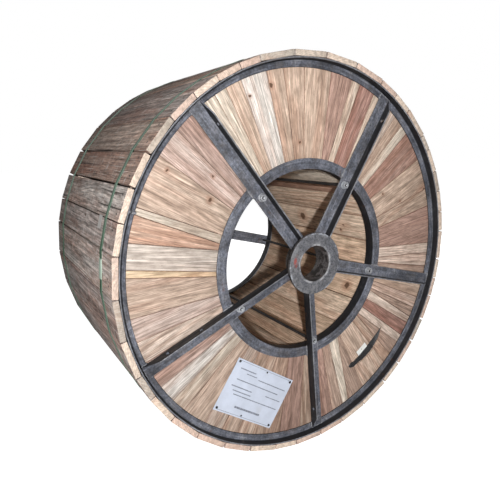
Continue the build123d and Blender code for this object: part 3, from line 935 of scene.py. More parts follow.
def painted_steel(name, colours, scuffing, rust, bare=0.0, streaked=True):
    """Dark angle-iron paint, rubbed and dusty on faces that look out, streaked along the bar, painted shade
    on sides.
    """
    material, make, point = new_material(name)
    wear = make.group("handled_wear", {"Point": point, "Scuffing": scuffing})
    grime = make.group("yard_grime", {"Point": point, "Amount": 0.6})
    run = make.attribute("run")["Vector"] if streaked else point
    streak = make.speckle(run, (9, 170, 170), 4.0, 0.65)
    outward = make.outward(0.55, 0.95)
    rubbed = make.times(outward, make.band(wear["Cloud"], 0.28, 0.70, 0.35, 1.0))
    rubbed = make.times(rubbed, make.band(streak, 0.25, 0.72, 0.30, 1.0))
    # Painted shade: faces that do not look along the axis get the paint darker still
    paint = make.blended(outward, make.tinted(colours.paint, TINTS["steel_side_shade"]), colours.paint)
    colour = make.blended(rubbed, paint, colours.scuffed_paint)
    colour = make.shaded(colour, make.speckle(point, 48.0, 5.0, 0.72), 1.55, 0.52)
    colour = make.shaded(colour, make.speckle(point, 150.0, 3.0, 0.6), 1.65, 0.50)
    for cover, mask, inside, outside in (
            (colours.bare_steel, make.band(streak, 0.60, 0.76), 0.06, 0.60),
            (colours.bare_steel, wear["Scuff"], 0.08, 0.55),
            (STAINS["steel_dust"], grime["Dust"], 0.02, 0.12)):
        colour = make.covered(colour, cover, mask, make.band(outward, 0.0, 1.0, inside, outside))
    colour = make.covered(colour, colours.rust, wear["Rust"], rust)
    if bare:
        rub = make.band(wear["Height"], 0.30, 0.62, bare * 0.3, bare)
        colour = make.blended(rub, colour, colours.bare_steel)
    height = make.plus(wear["Height"], make.times(streak, 0.6))
    make.surface(colour, make.band(wear["Cloud"], 0.3, 0.7, 0.48, 0.68), (height, 0.4, 0.0006))
    return material


def hub_steel(colours):
    """Turned hub: grey mill scale, a bright rubbed band round the bore, a painted highlight at the rim and a
    red smear.
    """
    material, make, point = new_material("hub_casting")
    wear = make.group("handled_wear", {"Point": point, "Scuffing": 0.75})
    across, _, height = make.parts(point)
    squares = [make.maths("POWER", leg, 2.0) for leg in (across, make.minus(height, AXIS_HEIGHT))]
    radius = make.maths("SQRT", make.plus(*squares))
    outward = make.outward(0.3, 0.9)
    colour = make.blended(outward, STAINS["hub_side"], STAINS["hub_face"])
    colour = make.covered(colour, STAINS["hub_cloud"], make.band(wear["Cloud"], 0.35, 0.65), 0.75)
    blot = make.band(make.speckle(point, 58.0, 3.0, 0.6), 0.50, 0.57)
    colour = make.covered(colour, STAINS["hub_blot"], blot, make.minus(0.9, outward))
    colour = make.shaded(colour, make.speckle(point, 190.0, 4.0, 0.7), 2.2, 0.28)
    colour = make.covered(colour, STAINS["hub_scuff"], wear["Scuff"], make.times(outward, 0.45))
    worn = make.band(make.speckle(point, 44.0, 4.0, 0.65), 0.46, 0.62, 0.04, 0.8)
    worn = make.times(make.band(radius, *HUB_WORN_BAND), worn)
    colour = make.covered(colour, STAINS["hub_worn"], worn, outward)
    # Painted highlight: a lighter, patchy band just inside the disc's rim
    rim = make.band(make.speckle(point, 52.0, 4.0, 0.7), 0.50, 0.64)
    rim = make.times(make.band(radius, *HUB_RIM_HIGHLIGHT_BAND), rim)
    colour = make.covered(colour, STAINS["hub_rim"], rim, outward)
    offset = make.vector("SUBTRACT", point, (SMEAR_PLACE[0], HUB_LOW.y, AXIS_HEIGHT + SMEAR_PLACE[1]))[0]
    reach = make.vector("LENGTH", make.scaled(offset, (2.4, 1, 1)))["Value"]
    smear = make.times(make.band(reach, 0.021, 0.010), make.band(make.speckle(point, 95.0), 0.40, 0.52))
    colour = make.covered(colour, colours.red_paint, smear, 0.85)
    colour = make.covered(colour, colours.rust, wear["Rust"], 0.5)
    make.surface(colour, make.band(wear["Cloud"], 0.3, 0.7, 0.42, 0.66), (wear["Height"], 0.6, 0.0012))
    return material


def plated_steel(name, colour, dark, roughness):
    """Bright plated or rolled steel with stains."""
    material, make, point = new_material(name)
    wear = make.group("handled_wear", {"Point": make.scaled(point, (3, 3, 3)), "Scuffing": 0.5})
    mixed = make.blended(make.band(wear["Cloud"], 0.3, 0.7, 0.0, 0.7), colour, dark)
    mixed = make.covered(mixed, STAINS["plate_rust"], wear["Rust"], 0.5)
    sheen = make.band(wear["Height"], 0.3, 0.7, roughness - 0.08, roughness + 0.12)
    make.surface(mixed, sheen, (wear["Height"], 0.3, 0.0004), metallic=0.55)
    return material


def strap_plastic(strap):
    """Green strapping with its pressed diagonal pattern, a painted highlight as a pale stripe along one edge,
    paler low down.
    """
    material, make, point = new_material("strap_band")
    wear = make.group("handled_wear", {"Point": point, "Scuffing": 0.6})
    pattern = make.add("ShaderNodeTexWave", {"Vector": point, "Scale": 95.0}, bands_direction="DIAGONAL")
    colour = make.blended(make.band(wear["Cloud"], 0.3, 0.7, 0.0, 0.6), strap, STAINS["strap_cloud"])
    colour = make.covered(colour, STAINS["strap_scuff"], wear["Scuff"], 0.30)
    _, along, height = make.parts(point)
    # Paler below the axis, and a pale stripe near one edge as painted highlight
    pale = make.band(height, AXIS_HEIGHT + 0.01, AXIS_HEIGHT - 0.10, 0.0, 0.5)
    for side in OUT:
        low, high = (corner.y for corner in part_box(f"{side}_strap"))
        highlight_stripe = make.apart(along, 0.82 * low + 0.18 * high)
        highlight_stripe = make.band(highlight_stripe, (high - low) * 0.22, (high - low) * 0.10, 0.0, 0.80)
        pale = make.most(pale, highlight_stripe)
    colour = make.covered(colour, STAINS["strap_pale"], pale, make.band(wear["Cloud"], 0.25, 0.55, 0.45, 1.0))
    make.surface(colour, 0.42, (pattern["Fac"], 0.4, 0.0003))
    return material


def cable_jacket(name, jacket):
    """Dark jacket with a slight sheen and rub marks."""
    material, make, point = new_material(name)
    wear = make.group("handled_wear", {"Point": point, "Scuffing": 0.4})
    colour = make.covered(jacket, STAINS["jacket_rub"], wear["Scuff"], 0.35)
    make.surface(colour, make.band(wear["Cloud"], 0.3, 0.7, 0.30, 0.48), (wear["Height"], 0.2, 0.0004))
    return material


def paper_sheet(name, colour, stain, rules=()):
    """Paper with faint creases and stains, and plain rules on it."""
    material, make, point = new_material(name)
    grime = make.group("yard_grime", {"Point": make.scaled(point, (3, 3, 3)), "Amount": 0.4})
    mixed = make.covered(colour, stain, grime["Dirt"], 0.4)
    mixed = make.shaded(mixed, make.speckle(point, 24.0, 4.0, 0.6), 1.08, 0.92)
    if rules:
        across, up, _ = make.parts(make.add("ShaderNodeUVMap")[0])
        ink = 0.0
        for height, start, end, half in rules:
            line = make.maths("LESS_THAN", make.apart(up, height), half)
            span = make.maths("LESS_THAN", make.apart(across, (start + end) / 2), (end - start) / 2)
            ink = make.most(ink, make.times(line, span))
        faded = make.band(make.speckle(point, 400.0, 2.0), 0.3, 0.6, 0.45, 0.85)
        mixed = make.covered(mixed, STAINS["ink"], ink, faded)
    make.surface(mixed, 0.5, (make.speckle(point, 45.0), 0.25, 0.0006))
    return material


# Pieces


class DRUM_OT_flange_boards(bpy.types.Operator):
    """Sawn boards between the spokes of both flanges"""

    bl_idname = "drum.flange_boards"
    bl_label = "Flange boards"

    def execute(self, context):
        sizes, choice = context.scene.drum_sizes, random.Random(context.scene.drum_sizes.seed)
        spots = [(round_axis(RING_RADIUS * share, math.radians(angle), LEG_THICKNESS - HALF_DRUM), radius)
                 for angle, share, radius in BOARD_KNOTS]
        wood = sawn_wood("flange_board", context.scene.drum_colours.knot, 0.05, 0.35, spots)
        joint = joint_shadow("board_joint")
        for side, out in OUT.items():
            into = flange_matrix(side).inverted()
            for bay in range(SPOKES):
                node = f"{side}_boards_{bay + 1}"
                piece = copy_of(node)
                round_edges(piece, sizes.edge_rounding)

                def lie(centre):
                    flat = into @ centre
                    angle = math.degrees(math.atan2(flat.y, flat.x))
                    share = ((angle - FIRST_SPOKE[side] - BOARD_TURN - bay * BAY) % 360) / BAY
                    tone = next(kind for end, kind in BOARD_TONES[bay] if share <= end or end == 1.0)
                    colour = np.array(linear(*TONES[tone])) * BAY_TONES_AND_SHADE[bay] * BLUSH
                    colour = colour * choice.uniform(0.94, 1.05)
                    return from_axis(centre), Vector((0, out, 0)), colour, -choice.uniform(0, 0.0009)

                grain_attributes(piece, lie, choice)
                # Rounded edges along the joints get the joint material, darkened partly by painted shade
                mark(piece, lambda centre, normal: 0.25 < abs(normal.y) < 0.95)
                smooth(piece)
                hand_in(piece, f"{side}_sawn_boards_{bay + 1}", [wood, joint], [node])
        return {"FINISHED"}


class DRUM_OT_barrel(bpy.types.Operator):
    """Barrel staves"""

    bl_idname = "drum.barrel"
    bl_label = "Barrel"

    def execute(self, context):
        sizes, choice = context.scene.drum_sizes, random.Random(context.scene.drum_sizes.seed + 1)
        wall = INNER_HIGH.x - sizes.inner_flat_leg + LEG_THICKNESS
        spots = [(round_axis(wall, math.radians(angle), depth - HALF_DRUM), radius)
                 for angle, depth, radius in STAVE_KNOTS]
        wood = sawn_wood("barrel_stave", context.scene.drum_colours.knot, 0.06, 0.4, spots)
        piece = copy_of("barrel_staves")
        round_edges(piece, sizes.edge_rounding * 1.5)

        def lie(centre):
            face = from_axis(centre)
            angle = math.degrees(math.atan2(face.z, face.x)) % 360
            tone = next(kind for end, kind in STAVE_TONES if angle <= end)
            colour = np.array(linear(*TONES[tone])) * choice.uniform(0.97, 1.08)
            return Vector((0, 1, 0)), face, colour, 0.0

        grain_attributes(piece, lie, choice)
        # Rounded edges along the joints get the joint material, darkened partly by painted shade
        mark(piece, lambda centre, normal: abs(normal.y) < 0.9 and abs(from_axis(centre).dot(normal)) < 0.93)
        smooth(piece)
        hand_in(piece, "sawn_staves", [wood, joint_shadow("stave_joint")], ["barrel_staves"])
        return {"FINISHED"}


class DRUM_OT_lagging(bpy.types.Operator):
    """Weathered planks round the rim, with sawn ends"""

    bl_idname = "drum.lagging"
    bl_label = "Lagging"

    def execute(self, context):
        sizes, colours = context.scene.drum_sizes, context.scene.drum_colours
        choice = random.Random(sizes.seed + 2)
        piece = copy_of("lagging_planks")
        round_edges(piece, sizes.edge_rounding * 1.4)

        def lie(centre):
            face = from_axis(centre)
            angle = math.degrees(math.atan2(face.z, face.x)) % 360
            chosen = [kind for low, high, kind in CHOSEN_PLANKS if low < angle < high]
            tone = chosen[0] if chosen else choice.choice(OTHER_PLANKS)
            colour = np.array(linear(*PLANK_TONES[tone])) * choice.uniform(0.93, 1.15)
            return Vector((0, 1, 0)), face, colour, 0.0

        grain_attributes(piece, lie, choice)
        mark(piece, lambda centre, normal: abs(normal.y) > 0.75)
        smooth(piece)
        hand_in(piece, "weathered_planks",
                [weathered_wood(colours.knot), end_grain(colours.fresh_end)], ["lagging_planks"])
        head = primitive("cylinder", vertices=10, radius=sizes.nail_radius, depth=NAIL_DEPTH)
        nails = scattered(head, self.nail_places(piece, choice), "plank_nails")
        smooth(nails)
        hand_in(nails, "plank_nails",
                [plated_steel("nail_steel", STAINS["nail"], STAINS["nail_dark"], 0.55)])
        return {"FINISHED"}

    @staticmethod
    def nail_places(piece, choice):
        """Two nails through each end of each plank, set in a little."""
        points = points_of(piece.data)
        number = island_numbers(piece.data)
        sink, inset, scatter = 0.0016, 0.022, 0.012
        places = []
        for part in range(number.max() + 1):
            inside = points[number == part]
            centre = Vector((inside.min(axis=0) + inside.max(axis=0)) / 2)
            face = from_axis(centre)
            across = Vector((-face.z, 0, face.x))
            top = max(inside @ np.array(face)) - centre.dot(face)
            width = np.ptp(inside @ np.array(across))
            length = np.ptp(inside[:, 1])
            turn = face.to_track_quat("Z", "Y").to_matrix().to_4x4()
            for end in (-1, 1):
                for beside in (-0.28, 0.27):
                    spot = centre + face * (top - sink)
                    spot += across * width * (beside + choice.uniform(-0.04, 0.04))
                    spot += Vector((0, end * (length / 2 - inset - choice.uniform(0, scatter)), 0))
                    places.append(Matrix.Translation(spot) @ turn)
        return places


class DRUM_OT_rings(bpy.types.Operator):
    """Rolled angle-iron rings of both flanges"""

    bl_idname = "drum.rings"
    bl_label = "Rings"

    def execute(self, context):
        sizes, colours = context.scene.drum_sizes, context.scene.drum_colours
        paint = painted_steel("frame_paint", colours, 0.45, 0.35)
        # Toes and rounded edges get lighter, barer paint: partly edge wear, partly painted highlight
        edge = painted_steel("frame_edge", colours, 0.6, 0.4, 0.32)
        inner_radius = INNER_HIGH.x - sizes.inner_flat_leg
        deep_leg = INNER_HIGH.y - INNER_LOW.y
        for side in OUT:
            outer = rolled_angle(sizes.outer_flat_leg, STANDING_LEG + LEG_THICKNESS, LEG_THICKNESS)
            outer.data.transform(
                Matrix.Translation((RING_RADIUS, 0, -LEG_THICKNESS)) @ Matrix.Diagonal((-1, 1, 1, 1)))
            lathe(outer, 200)
            inner = rolled_angle(sizes.inner_flat_leg, deep_leg, LEG_THICKNESS)
            inner.data.transform(Matrix.Translation((inner_radius, 0, 0)) @ Matrix.Diagonal((1, 1, -1, 1)))
            lathe(inner, 144)
            for ring, kind, leg in ((outer, "outer", STANDING_LEG), (inner, "inner", deep_leg)):
                lengthwise(ring, True)
                # Toes get the lighter edge paint: wear and painted highlight
                mark(ring, lambda centre, normal: abs(centre.z) > leg - TOE_BAND)
                ring.data.transform(flange_matrix(side))
                smooth(ring, 30)
                hand_in(ring, f"{side}_{kind}_angle_ring", [paint, edge],
                        [f"{side}_{kind}_ring"])
        return {"FINISHED"}


class DRUM_OT_spokes(bpy.types.Operator):
    """Angle-iron spokes of both flanges, mitred at the rim, and the bar beside one of them"""

    bl_idname = "drum.spokes"
    bl_label = "Spokes"

    def execute(self, context):
        sizes = context.scene.drum_sizes
        paint, edge = bpy.data.materials["frame_paint"], bpy.data.materials["frame_edge"]
        half = sizes.spoke_flat_leg / 2
        start = math.sqrt((sizes.hub_bore_radius + sizes.hub_sleeve_wall) ** 2 - half ** 2)
        end = RING_RADIUS - sizes.spoke_end_gap
        spoke = rolled_angle(sizes.spoke_flat_leg, SPOKE_STANDING, LEG_THICKNESS)
        spoke.data.transform(Matrix.Translation((start, -half, 0)) @ Matrix.Rotation(math.pi / 2, 4, "Z"))
        rise = SPOKE_STANDING - LEG_THICKNESS
        toe, side_band, foot = 0.0018, 0.0014, 0.0008
        with editing(spoke):
            bpy.ops.mesh.extrude_region_move(TRANSFORM_OT_translate={"value": (end - start, 0, 0)})
            bpy.ops.mesh.select_all(action="SELECT")
            bpy.ops.mesh.bisect(plane_co=(end, 0, LEG_THICKNESS), plane_no=(rise, 0, sizes.spoke_mitre_run),
                                clear_outer=True, use_fill=True)
            bpy.ops.mesh.select_all(action="SELECT")
            bpy.ops.mesh.normals_make_consistent(inside=False)
        for side in OUT:
            for place in range(SPOKES):
                piece = linked("spoke_twin", spoke.data.copy())
                for inset in LASHING_INSETS[:2 if place == SECOND_HOLE_SPOKE else 1]:
                    drill = primitive(
                        "cylinder", vertices=24, radius=sizes.lashing_hole_radius, depth=LEG_THICKNESS * 4,
                        location=(RING_RADIUS - inset, -half, LASHING_HEIGHT), rotation=(math.pi / 2, 0, 0))
                    cut_out(piece, drill)
                round_edges(piece, FINE_ROUNDING, 2, 40)
                lengthwise(piece, False)
                # Toes and the flat leg's outer edge get the lighter edge paint: wear and painted highlight
                mark(piece, lambda centre, normal: centre.z > SPOKE_STANDING - toe
                     or (centre.y > half - side_band and centre.z > foot))
                piece.data.transform(flange_matrix(side) @ Matrix.Rotation(spoke_angle(side, place), 4, "Z"))
                smooth(piece, 30)
                hand_in(piece, f"{side}_angle_spoke_{place + 1}", [paint, edge],
                        [f"{side}_spoke_{place + 1}"])
        bpy.data.objects.remove(spoke)
        gusset = copy_of("spoke_gusset")
        round_edges(gusset, GUSSET_ROUNDING, 2, 40)
        smooth(gusset, 30)
        hand_in(gusset, "welded_bar", [paint], ["spoke_gusset"])
        return {"FINISHED"}


class DRUM_OT_hubs(bpy.types.Operator):
    """Turned hubs with their arbor bore"""

    bl_idname = "drum.hubs"
    bl_label = "Hubs"

    def execute(self, context):
        sizes = context.scene.drum_sizes
        steel = hub_steel(context.scene.drum_colours)
        bore = sizes.hub_bore_radius
        wall = sizes.hub_sleeve_wall
        disc = HUB_PROUD - SPOKE_STANDING
        for side in OUT:
            hub = angle_section(HUB_RADIUS - bore, HUB_LENGTH, disc, wall, HUB_ROOT)
            round_corners(hub, [(0, 0), (0, HUB_LENGTH)], sizes.hub_bore_chamfer, 3)
            round_corners(hub, [(HUB_RADIUS - bore, 0), (HUB_RADIUS - bore, disc)], HUB_RIM_ROUNDING, 2)
            hub.data.transform(Matrix.Translation((bore, 0, HUB_PROUD)) @ Matrix.Diagonal((1, 1, -1, 1)))
            lathe(hub, 128)
            hub.data.transform(flange_matrix(side))
            smooth(hub, 30)
            hand_in(hub, f"{side}_turned_hub", [steel], [f"{side}_hub"])
        return {"FINISHED"}


class DRUM_OT_welds(bpy.types.Operator):
    """Weld beads where spokes meet the hub and the rings"""

    bl_idname = "drum.welds"
    bl_label = "Weld beads"

    def execute(self, context):
        sizes, colours = context.scene.drum_sizes, context.scene.drum_colours
        steel = painted_steel("weld_scale", colours, 0.7, 0.6, 0.3, False)
        choice = random.Random(sizes.seed + 3)
        half = sizes.spoke_flat_leg / 2
        end = RING_RADIUS - sizes.spoke_end_gap
        top = LEG_THICKNESS
        butt_beads, across_pitch, up_pitch, stray = 16, 0.0014, 0.0015, 0.001
        flat_edge = RING_RADIUS - sizes.outer_flat_leg
        inner_edge = (INNER_HIGH.x - sizes.inner_flat_leg, INNER_HIGH.x)
        sleeve = math.sqrt((sizes.hub_bore_radius + sizes.hub_sleeve_wall) ** 2 - half ** 2)
        runs = [
            ((sleeve + 0.001, -half, top), (sleeve + 0.003, 0, top)),
            ((sleeve + 0.003, 0, top), (sleeve + 0.001, half, top)),
            ((sleeve, -half, top), (sleeve, -half, SPOKE_STANDING)),
            ((inner_edge[0], half, 0), (inner_edge[1], half, 0)),
            ((inner_edge[0], -half, 0), (inner_edge[1], -half, 0)),
            ((flat_edge, half, 0), (end, half, 0)),
            ((flat_edge, -half, 0), (end, -half, 0)),
            ((end, -half, top * 0.5), (end, half, top * 0.5)),
        ]
        for side in OUT:
            places = []
            for place in range(SPOKES):
                turn = flange_matrix(side) @ Matrix.Rotation(spoke_angle(side, place), 4, "Z")
                for first, last in runs:
                    first, last = Vector(first), Vector(last)
                    count = max(3, round((last - first).length / BEAD_PITCH))
                    for step in range(count + 1):
                        spot = first.lerp(last, step / count)
                        spot += Vector([choice.uniform(-BEAD_STRAY, BEAD_STRAY) for _ in range(3)])
                        size = sizes.bead_radius * choice.uniform(0.85, 1.2)
                        spin = Matrix.Rotation(choice.uniform(0, 6), 4, "Z")
                        squash = Matrix.Diagonal((size, size, size * 0.72, 1))
                        places.append(turn @ Matrix.Translation(spot) @ spin @ squash)
            butt = flange_matrix(side) @ Matrix.Rotation(math.radians(BUTT_WELD_ANGLE), 4, "Z")
            for step in range(butt_beads):
                spot = Vector((flat_edge + across_pitch * step, choice.uniform(-stray, stray), 0))
                places.append(butt @ Matrix.Translation(spot) @ Matrix.Scale(sizes.bead_radius * 1.2, 4))
                spot = Vector((RING_RADIUS - LEG_THICKNESS, choice.uniform(-stray, stray), up_pitch * step))
                places.append(butt @ Matrix.Translation(spot) @ Matrix.Scale(sizes.bead_radius, 4))
            beads = scattered(primitive("ico_sphere", subdivisions=2, radius=1), places, f"{side}_weld_beads")
            smooth(beads, 60)
            hand_in(beads, f"{side}_weld_beads", [steel])
        return {"FINISHED"}


class DRUM_OT_tie_rods(bpy.types.Operator):
    """Tie rods with threaded ends, chamfered nuts and washers"""

    bl_idname = "drum.tie_rods"
    bl_label = "Tie rods"

    def execute(self, context):
        colours = context.scene.drum_colours
        zinc = plated_steel("plated_zinc", colours.zinc, STAINS["plate_dull"], 0.38)
        dark = plated_steel("rod_scale", STAINS["rod"], STAINS["rod_dark"], 0.55)
        for node, name, slot, material, width in (
                ("tie_rods", "threaded_rods", "rod_steel", dark, 0.0006),
                ("tie_rod_nuts", "plated_nuts", "zinc_plate", zinc, 0.0009),
                ("tie_rod_washers", "plated_washers", "zinc_plate", zinc, 0.0005)):
            piece = copy_of(node)
            round_edges(piece, width, 2, 40)
            mark(piece, lambda centre, normal: abs(centre.y) > HALF_DRUM)
            smooth(piece, 30)
            hand_in(piece, name, [material, zinc], [node])
        return {"FINISHED"}


class DRUM_OT_winding(bpy.types.Operator):
    """Wound cable, turn beside turn, and its loose end with the tag"""

    bl_idname = "drum.winding"
    bl_label = "Winding"

    def execute(self, context):
        sizes, colours = context.scene.drum_sizes, context.scene.drum_colours
        jacket = cable_jacket("jacket_black", colours.jacket)
        cable = sizes.cable_radius
        bore = INNER_HIGH.x - WINDING_SEAT
        layers = int((WINDING_RADIUS - bore) / (2 * cable))
        turns = int(HALF_WINDING / cable)
        if layers < 1:
            raise RuntimeError("the winding has no room between barrel and rim")
        bends = [(math.cos(math.pi * step / 4), math.sin(math.pi * step / 4)) for step in range(4)]
        outline = []
        for layer in range(layers):
            middle = WINDING_RADIUS - (layers - layer) * 2 * cable + cable
            outline += [(middle - cable * x, cable - HALF_WINDING - cable * y) for x, y in bends]
        for number in range(turns):
            middle = cable - HALF_WINDING + number * 2 * cable
            outline += [(WINDING_RADIUS - cable + cable * y, middle - cable * x) for x, y in bends]
        outline += [(reach, -along) for reach, along in reversed(outline[:layers * len(bends)])]
        edges = [(i, (i + 1) % len(outline)) for i in range(len(outline))]
        mesh = bpy.data.meshes.new("wound_cable")
        mesh.from_pydata([(reach, 0, along) for reach, along in outline], edges, [])
        piece = lathe(linked("wound_cable", mesh), 96)
        piece.data.transform(Matrix.Translation((0, 0, AXIS_HEIGHT)) @ Matrix.Rotation(-math.pi / 2, 4, "X"))
        smooth(piece, 60)
        hand_in(piece, "wound_cable", [jacket], ["cable_winding"])
        end = joined(self.strands())
        smooth(end, 60)
        worn = cable_jacket("jacket_worn", colours.worn_jacket)
        hand_in(end, "loose_cable_end", [worn], ["cable_end"])
        tag = copy_of("cable_tag")
        smooth(tag, 30)
        white = paper_sheet("tag_white", colours.tag, STAINS["tag_stain"])
        hand_in(tag, "end_tag", [white], ["cable_tag"])
        return {"FINISHED"}

    @staticmethod
    def strands():
        """Doubled cable end bent into the slot, lying on the boards at its ends, with its binding."""
        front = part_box("cable_end")[0].y
        first, last = (math.radians(angle) for angle in SLOT_TIPS)
        steps, turns, turn_steps = 48, 5, 12
        clearance, thinnest, widest, binding = 0.0012, 0.0016, 0.0108, 0.0011

        def spot(share, offset, depth):
            bulge = 1 - (2 * share - 1) ** 2
            inner, outer = (RING_RADIUS * (SLOT_TIP + (edge - SLOT_TIP) * bulge) for edge in SLOT_EDGES)
            room = max((outer - inner) / 2 - clearance, thinnest)
            half = max(room, widest * min(1, share / 0.09) ** 0.5 * min(1, (1 - share) / 0.20))
            rise = 0.7 * (half - room)
            reach = (inner + outer) / 2 + offset * half
            return round_axis(reach, first + (last - first) * share, front + depth - rise), half

        pieces = []
        for lane in (-0.66, 0.0, 0.66):
            places, radii = [], []
            for step in range(steps + 1):
                share = 0.012 + 0.976 * step / steps
                half = spot(share, 0, 0)[1]
                radius = half * 0.33
                places.append(spot(share, lane + 0.05 * math.sin(9 * share + lane), radius)[0])
                radii.append(radius)
            pieces.append(tube(places, radii, "strand"))
        for middle in (0.30, 0.42, 0.60):
            places = []
            for step in range(turns * turn_steps + 1):
                turn = 2 * math.pi * step / turn_steps
                share = middle + 0.016 * (step / (turns * turn_steps) - 0.5) * 2
                half = spot(share, 0, 0)[1]
                places.append(spot(share, 1.02 * math.cos(turn), half * 0.34 * (1 - math.sin(turn)))[0])
            pieces.append(tube(places, [binding] * len(places), "binding"))
        return pieces


class DRUM_OT_straps(bpy.types.Operator):
    """Straps round the lagging, with a welded joint on the front one"""

    bl_idname = "drum.straps"
    bl_label = "Straps"

    def execute(self, context):
        colours = context.scene.drum_colours
        plastic = strap_plastic(colours.strap)
        for side in OUT:
            piece = copy_of(f"{side}_strap")
            smooth(piece, 20)
            hand_in(piece, f"{side}_strapping", [plastic], [f"{side}_strap"])
        low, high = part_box("front_strap")
        seal = primitive("cube", size=1)
        seal.data.transform(Matrix.Diagonal((SEAL_THICKNESS, (high.y - low.y) * 1.12, SEAL_LENGTH, 1)))
        round_edges(seal, FINE_ROUNDING)
        seal.data.transform(on_rim((high.x - low.x) / 2 - SEATING, SEAL_ANGLE, (low.y + high.y) / 2))
        smooth(seal)
        pale = paper_sheet("seal_plastic", colours.seal, STAINS["seal_stain"])
        hand_in(seal, "strap_seal", [pale])
        return {"FINISHED"}


class DRUM_OT_label(bpy.types.Operator):
    """Paper sheet pinned to the boards"""

    bl_idname = "drum.label"
    bl_label = "Pinned sheet"

    def execute(self, context):
        sizes, colours = context.scene.drum_sizes, context.scene.drum_colours
        low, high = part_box("label_sheet")
        place = Matrix.Translation((low + high) / 2) @ Matrix.Rotation(math.pi / 2, 4, "X")
        place = place @ Matrix.Rotation(sizes.sheet_tilt, 4, "Z")
        paper = paper_sheet("sheet_paper", colours.paper, STAINS["sheet_stain"], SHEET_RULES)
        piece = self.sheet(sizes.sheet_length, sizes.sheet_width, *SHEET_SWELL_AND_LIFT)
        piece.data.transform(place)
        hand_in(piece, "pinned_sheet", [paper], ["label_sheet"])
        low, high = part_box("lagging_planks")
        scrap = self.sheet(*SCRAP_SIZE, *SCRAP_SWELL_AND_LIFT)
        scrap.data.transform(on_rim((high.x - low.x) / 2 - SEATING, SCRAP_ANGLE, low.y + SCRAP_INSET)
                             @ Matrix.Rotation(math.pi / 2, 4, "Y"))
        torn = paper_sheet("scrap_paper", STAINS["scrap"], STAINS["scrap_stain"])
        hand_in(scrap, "paper_scrap", [torn])
        half = Vector((sizes.sheet_length / 2 - PIN_INSETS[0], sizes.sheet_width / 2 - PIN_INSETS[1]))
        heads = []
        for across, up, radius in PINS:
            spot = Matrix.Translation((across * half.x, up * half.y, PIN_LIFT))
            heads.append(place @ spot @ Matrix.Diagonal((radius, radius, radius * 0.5, 1)))
        pins = scattered(primitive("uv_sphere", segments=14, ring_count=8, radius=1), heads, "pin_heads")
        smooth(pins, 60)
        hand_in(pins, "pin_heads",
                [plated_steel("pin_steel", STAINS["pin"], STAINS["pin_dark"], 0.45)])
        return {"FINISHED"}

    @staticmethod
    def sheet(length, width, swell, lift):
        """Thin sheet on XY that waves a little out of its plane."""
        sheet = primitive("grid", x_subdivisions=48, y_subdivisions=34, size=1)
        sheet.data.transform(Matrix.Diagonal((length, width, 1, 1)))
        clouds = bpy.data.textures.new("sheet_waves", "CLOUDS")
        clouds.noise_scale = length * 0.42
        waves = sheet.modifiers.new("waves", "DISPLACE")
        waves.texture = clouds
        waves.strength = swell
        waves.mid_level = 0.5
        apply(sheet, waves)
        skin = sheet.modifiers.new("skin", "SOLIDIFY")
        skin.thickness = PAPER_THICKNESS
        apply(sheet, skin)
        sheet.data.transform(Matrix.Translation((0, 0, lift)))
        smooth(sheet, 60)
        return sheet


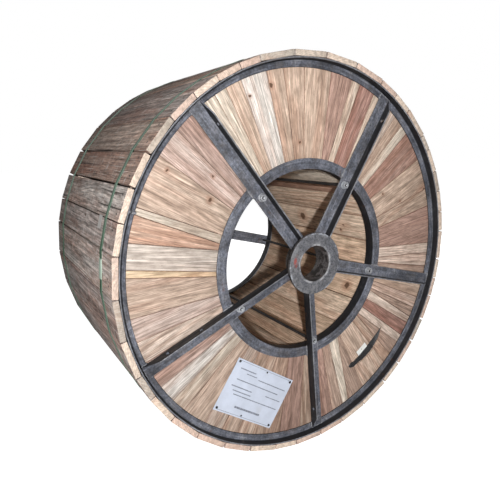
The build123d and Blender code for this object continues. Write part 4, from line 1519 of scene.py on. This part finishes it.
class DRUM_OT_stage(bpy.types.Operator):
    """Floor, light and camera"""

    bl_idname = "drum.stage"
    bl_label = "Stage"

    def execute(self, context):
        stage = context.scene.drum_stage
        floor = primitive("plane", size=40)
        floor.name = "floor"
        material, make, point = new_material("pale_floor")
        make.surface((0.60, 0.60, 0.60, 1), 0.9, specular=0.0)
        shader = material.node_tree.nodes["Principled BSDF"].inputs
        shader["Emission Color"].default_value = (1, 1, 1, 1)
        seen = make.add("ShaderNodeLightPath")["Is Camera Ray"]
        away = make.vector("LENGTH", point)["Value"]
        make.put(make.times(seen, make.band(away, 0.7, 2.2, 0.86, 1.0)), shader["Emission Strength"])
        floor.data.materials.append(material)
        for name in ("key", "fill", "back"):
            place = Vector(getattr(stage, f"{name}_place"))
            data = bpy.data.lights.new(name, "AREA")
            data.energy = getattr(stage, f"{name}_power")
            data.size = getattr(stage, f"{name}_size")
            lamp = linked(name, data)
            lamp.location = place
            lamp.rotation_euler = (Vector((0, 0, AXIS_HEIGHT)) - place).to_track_quat("-Z", "Y").to_euler()
        world = bpy.data.worlds.new("studio")
        context.scene.world = world
        world.use_nodes = True
        make = Shading(world.node_tree)
        background = world.node_tree.nodes["Background"].inputs
        background["Color"].default_value = (1, 1, 1, 1)
        rays = make.add("ShaderNodeLightPath")
        seen = make.most(rays["Is Camera Ray"], rays["Is Transmission Ray"])
        seen = make.most(seen, make.times(rays["Is Glossy Ray"], 0.6))
        make.put(make.band(seen, 0.0, 1.0, stage.sky, 1.0), background["Strength"])
        data = bpy.data.cameras.new("camera")
        data.lens = stage.lens
        data.sensor_width = 36.0
        camera = linked("camera", data)
        camera.location = stage.camera_place
        aim = Vector(stage.camera_aim) - camera.location
        turn = aim.to_track_quat("-Z", "Y").to_matrix() @ Matrix.Rotation(stage.camera_roll, 3, "Z")
        camera.rotation_euler = turn.to_euler()
        context.scene.camera = camera
        context.scene.view_settings.view_transform = "Standard"
        return {"FINISHED"}


PIECES = (DRUM_OT_flange_boards, DRUM_OT_barrel, DRUM_OT_lagging, DRUM_OT_rings, DRUM_OT_spokes, DRUM_OT_hubs,
          DRUM_OT_welds, DRUM_OT_tie_rods, DRUM_OT_winding, DRUM_OT_straps, DRUM_OT_label, DRUM_OT_stage)


class DRUM_PT_panel(bpy.types.Panel):
    """Lists the drum's operators, sizes and colours"""

    bl_idname = "DRUM_PT_panel"
    bl_label = "Cable drum"
    bl_space_type = "VIEW_3D"
    bl_region_type = "UI"
    bl_category = "Drum"

    def draw(self, context):
        for piece in PIECES:
            self.layout.operator(piece.bl_idname)
        for group in (context.scene.drum_sizes, context.scene.drum_colours, context.scene.drum_stage):
            for name in group.__annotations__:
                self.layout.prop(group, name)


GROUPS = (("drum_sizes", DrumSizes), ("drum_colours", DrumColours), ("drum_stage", DrumStage))


def register():
    for name, group in GROUPS:
        bpy.utils.register_class(group)
        setattr(bpy.types.Scene, name, PointerProperty(type=group))
    for piece in (*PIECES, DRUM_PT_panel):
        bpy.utils.register_class(piece)


def unregister():
    for piece in reversed((*PIECES, DRUM_PT_panel)):
        bpy.utils.unregister_class(piece)
    for name, group in reversed(GROUPS):
        delattr(bpy.types.Scene, name)
        bpy.utils.unregister_class(group)


def main():
    """Dresses the drum piece by piece."""
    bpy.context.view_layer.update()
    register()
    for piece in PIECES:
        getattr(bpy.ops.drum, piece.bl_idname.split(".")[1])()


if __name__ == "__main__":
    main()
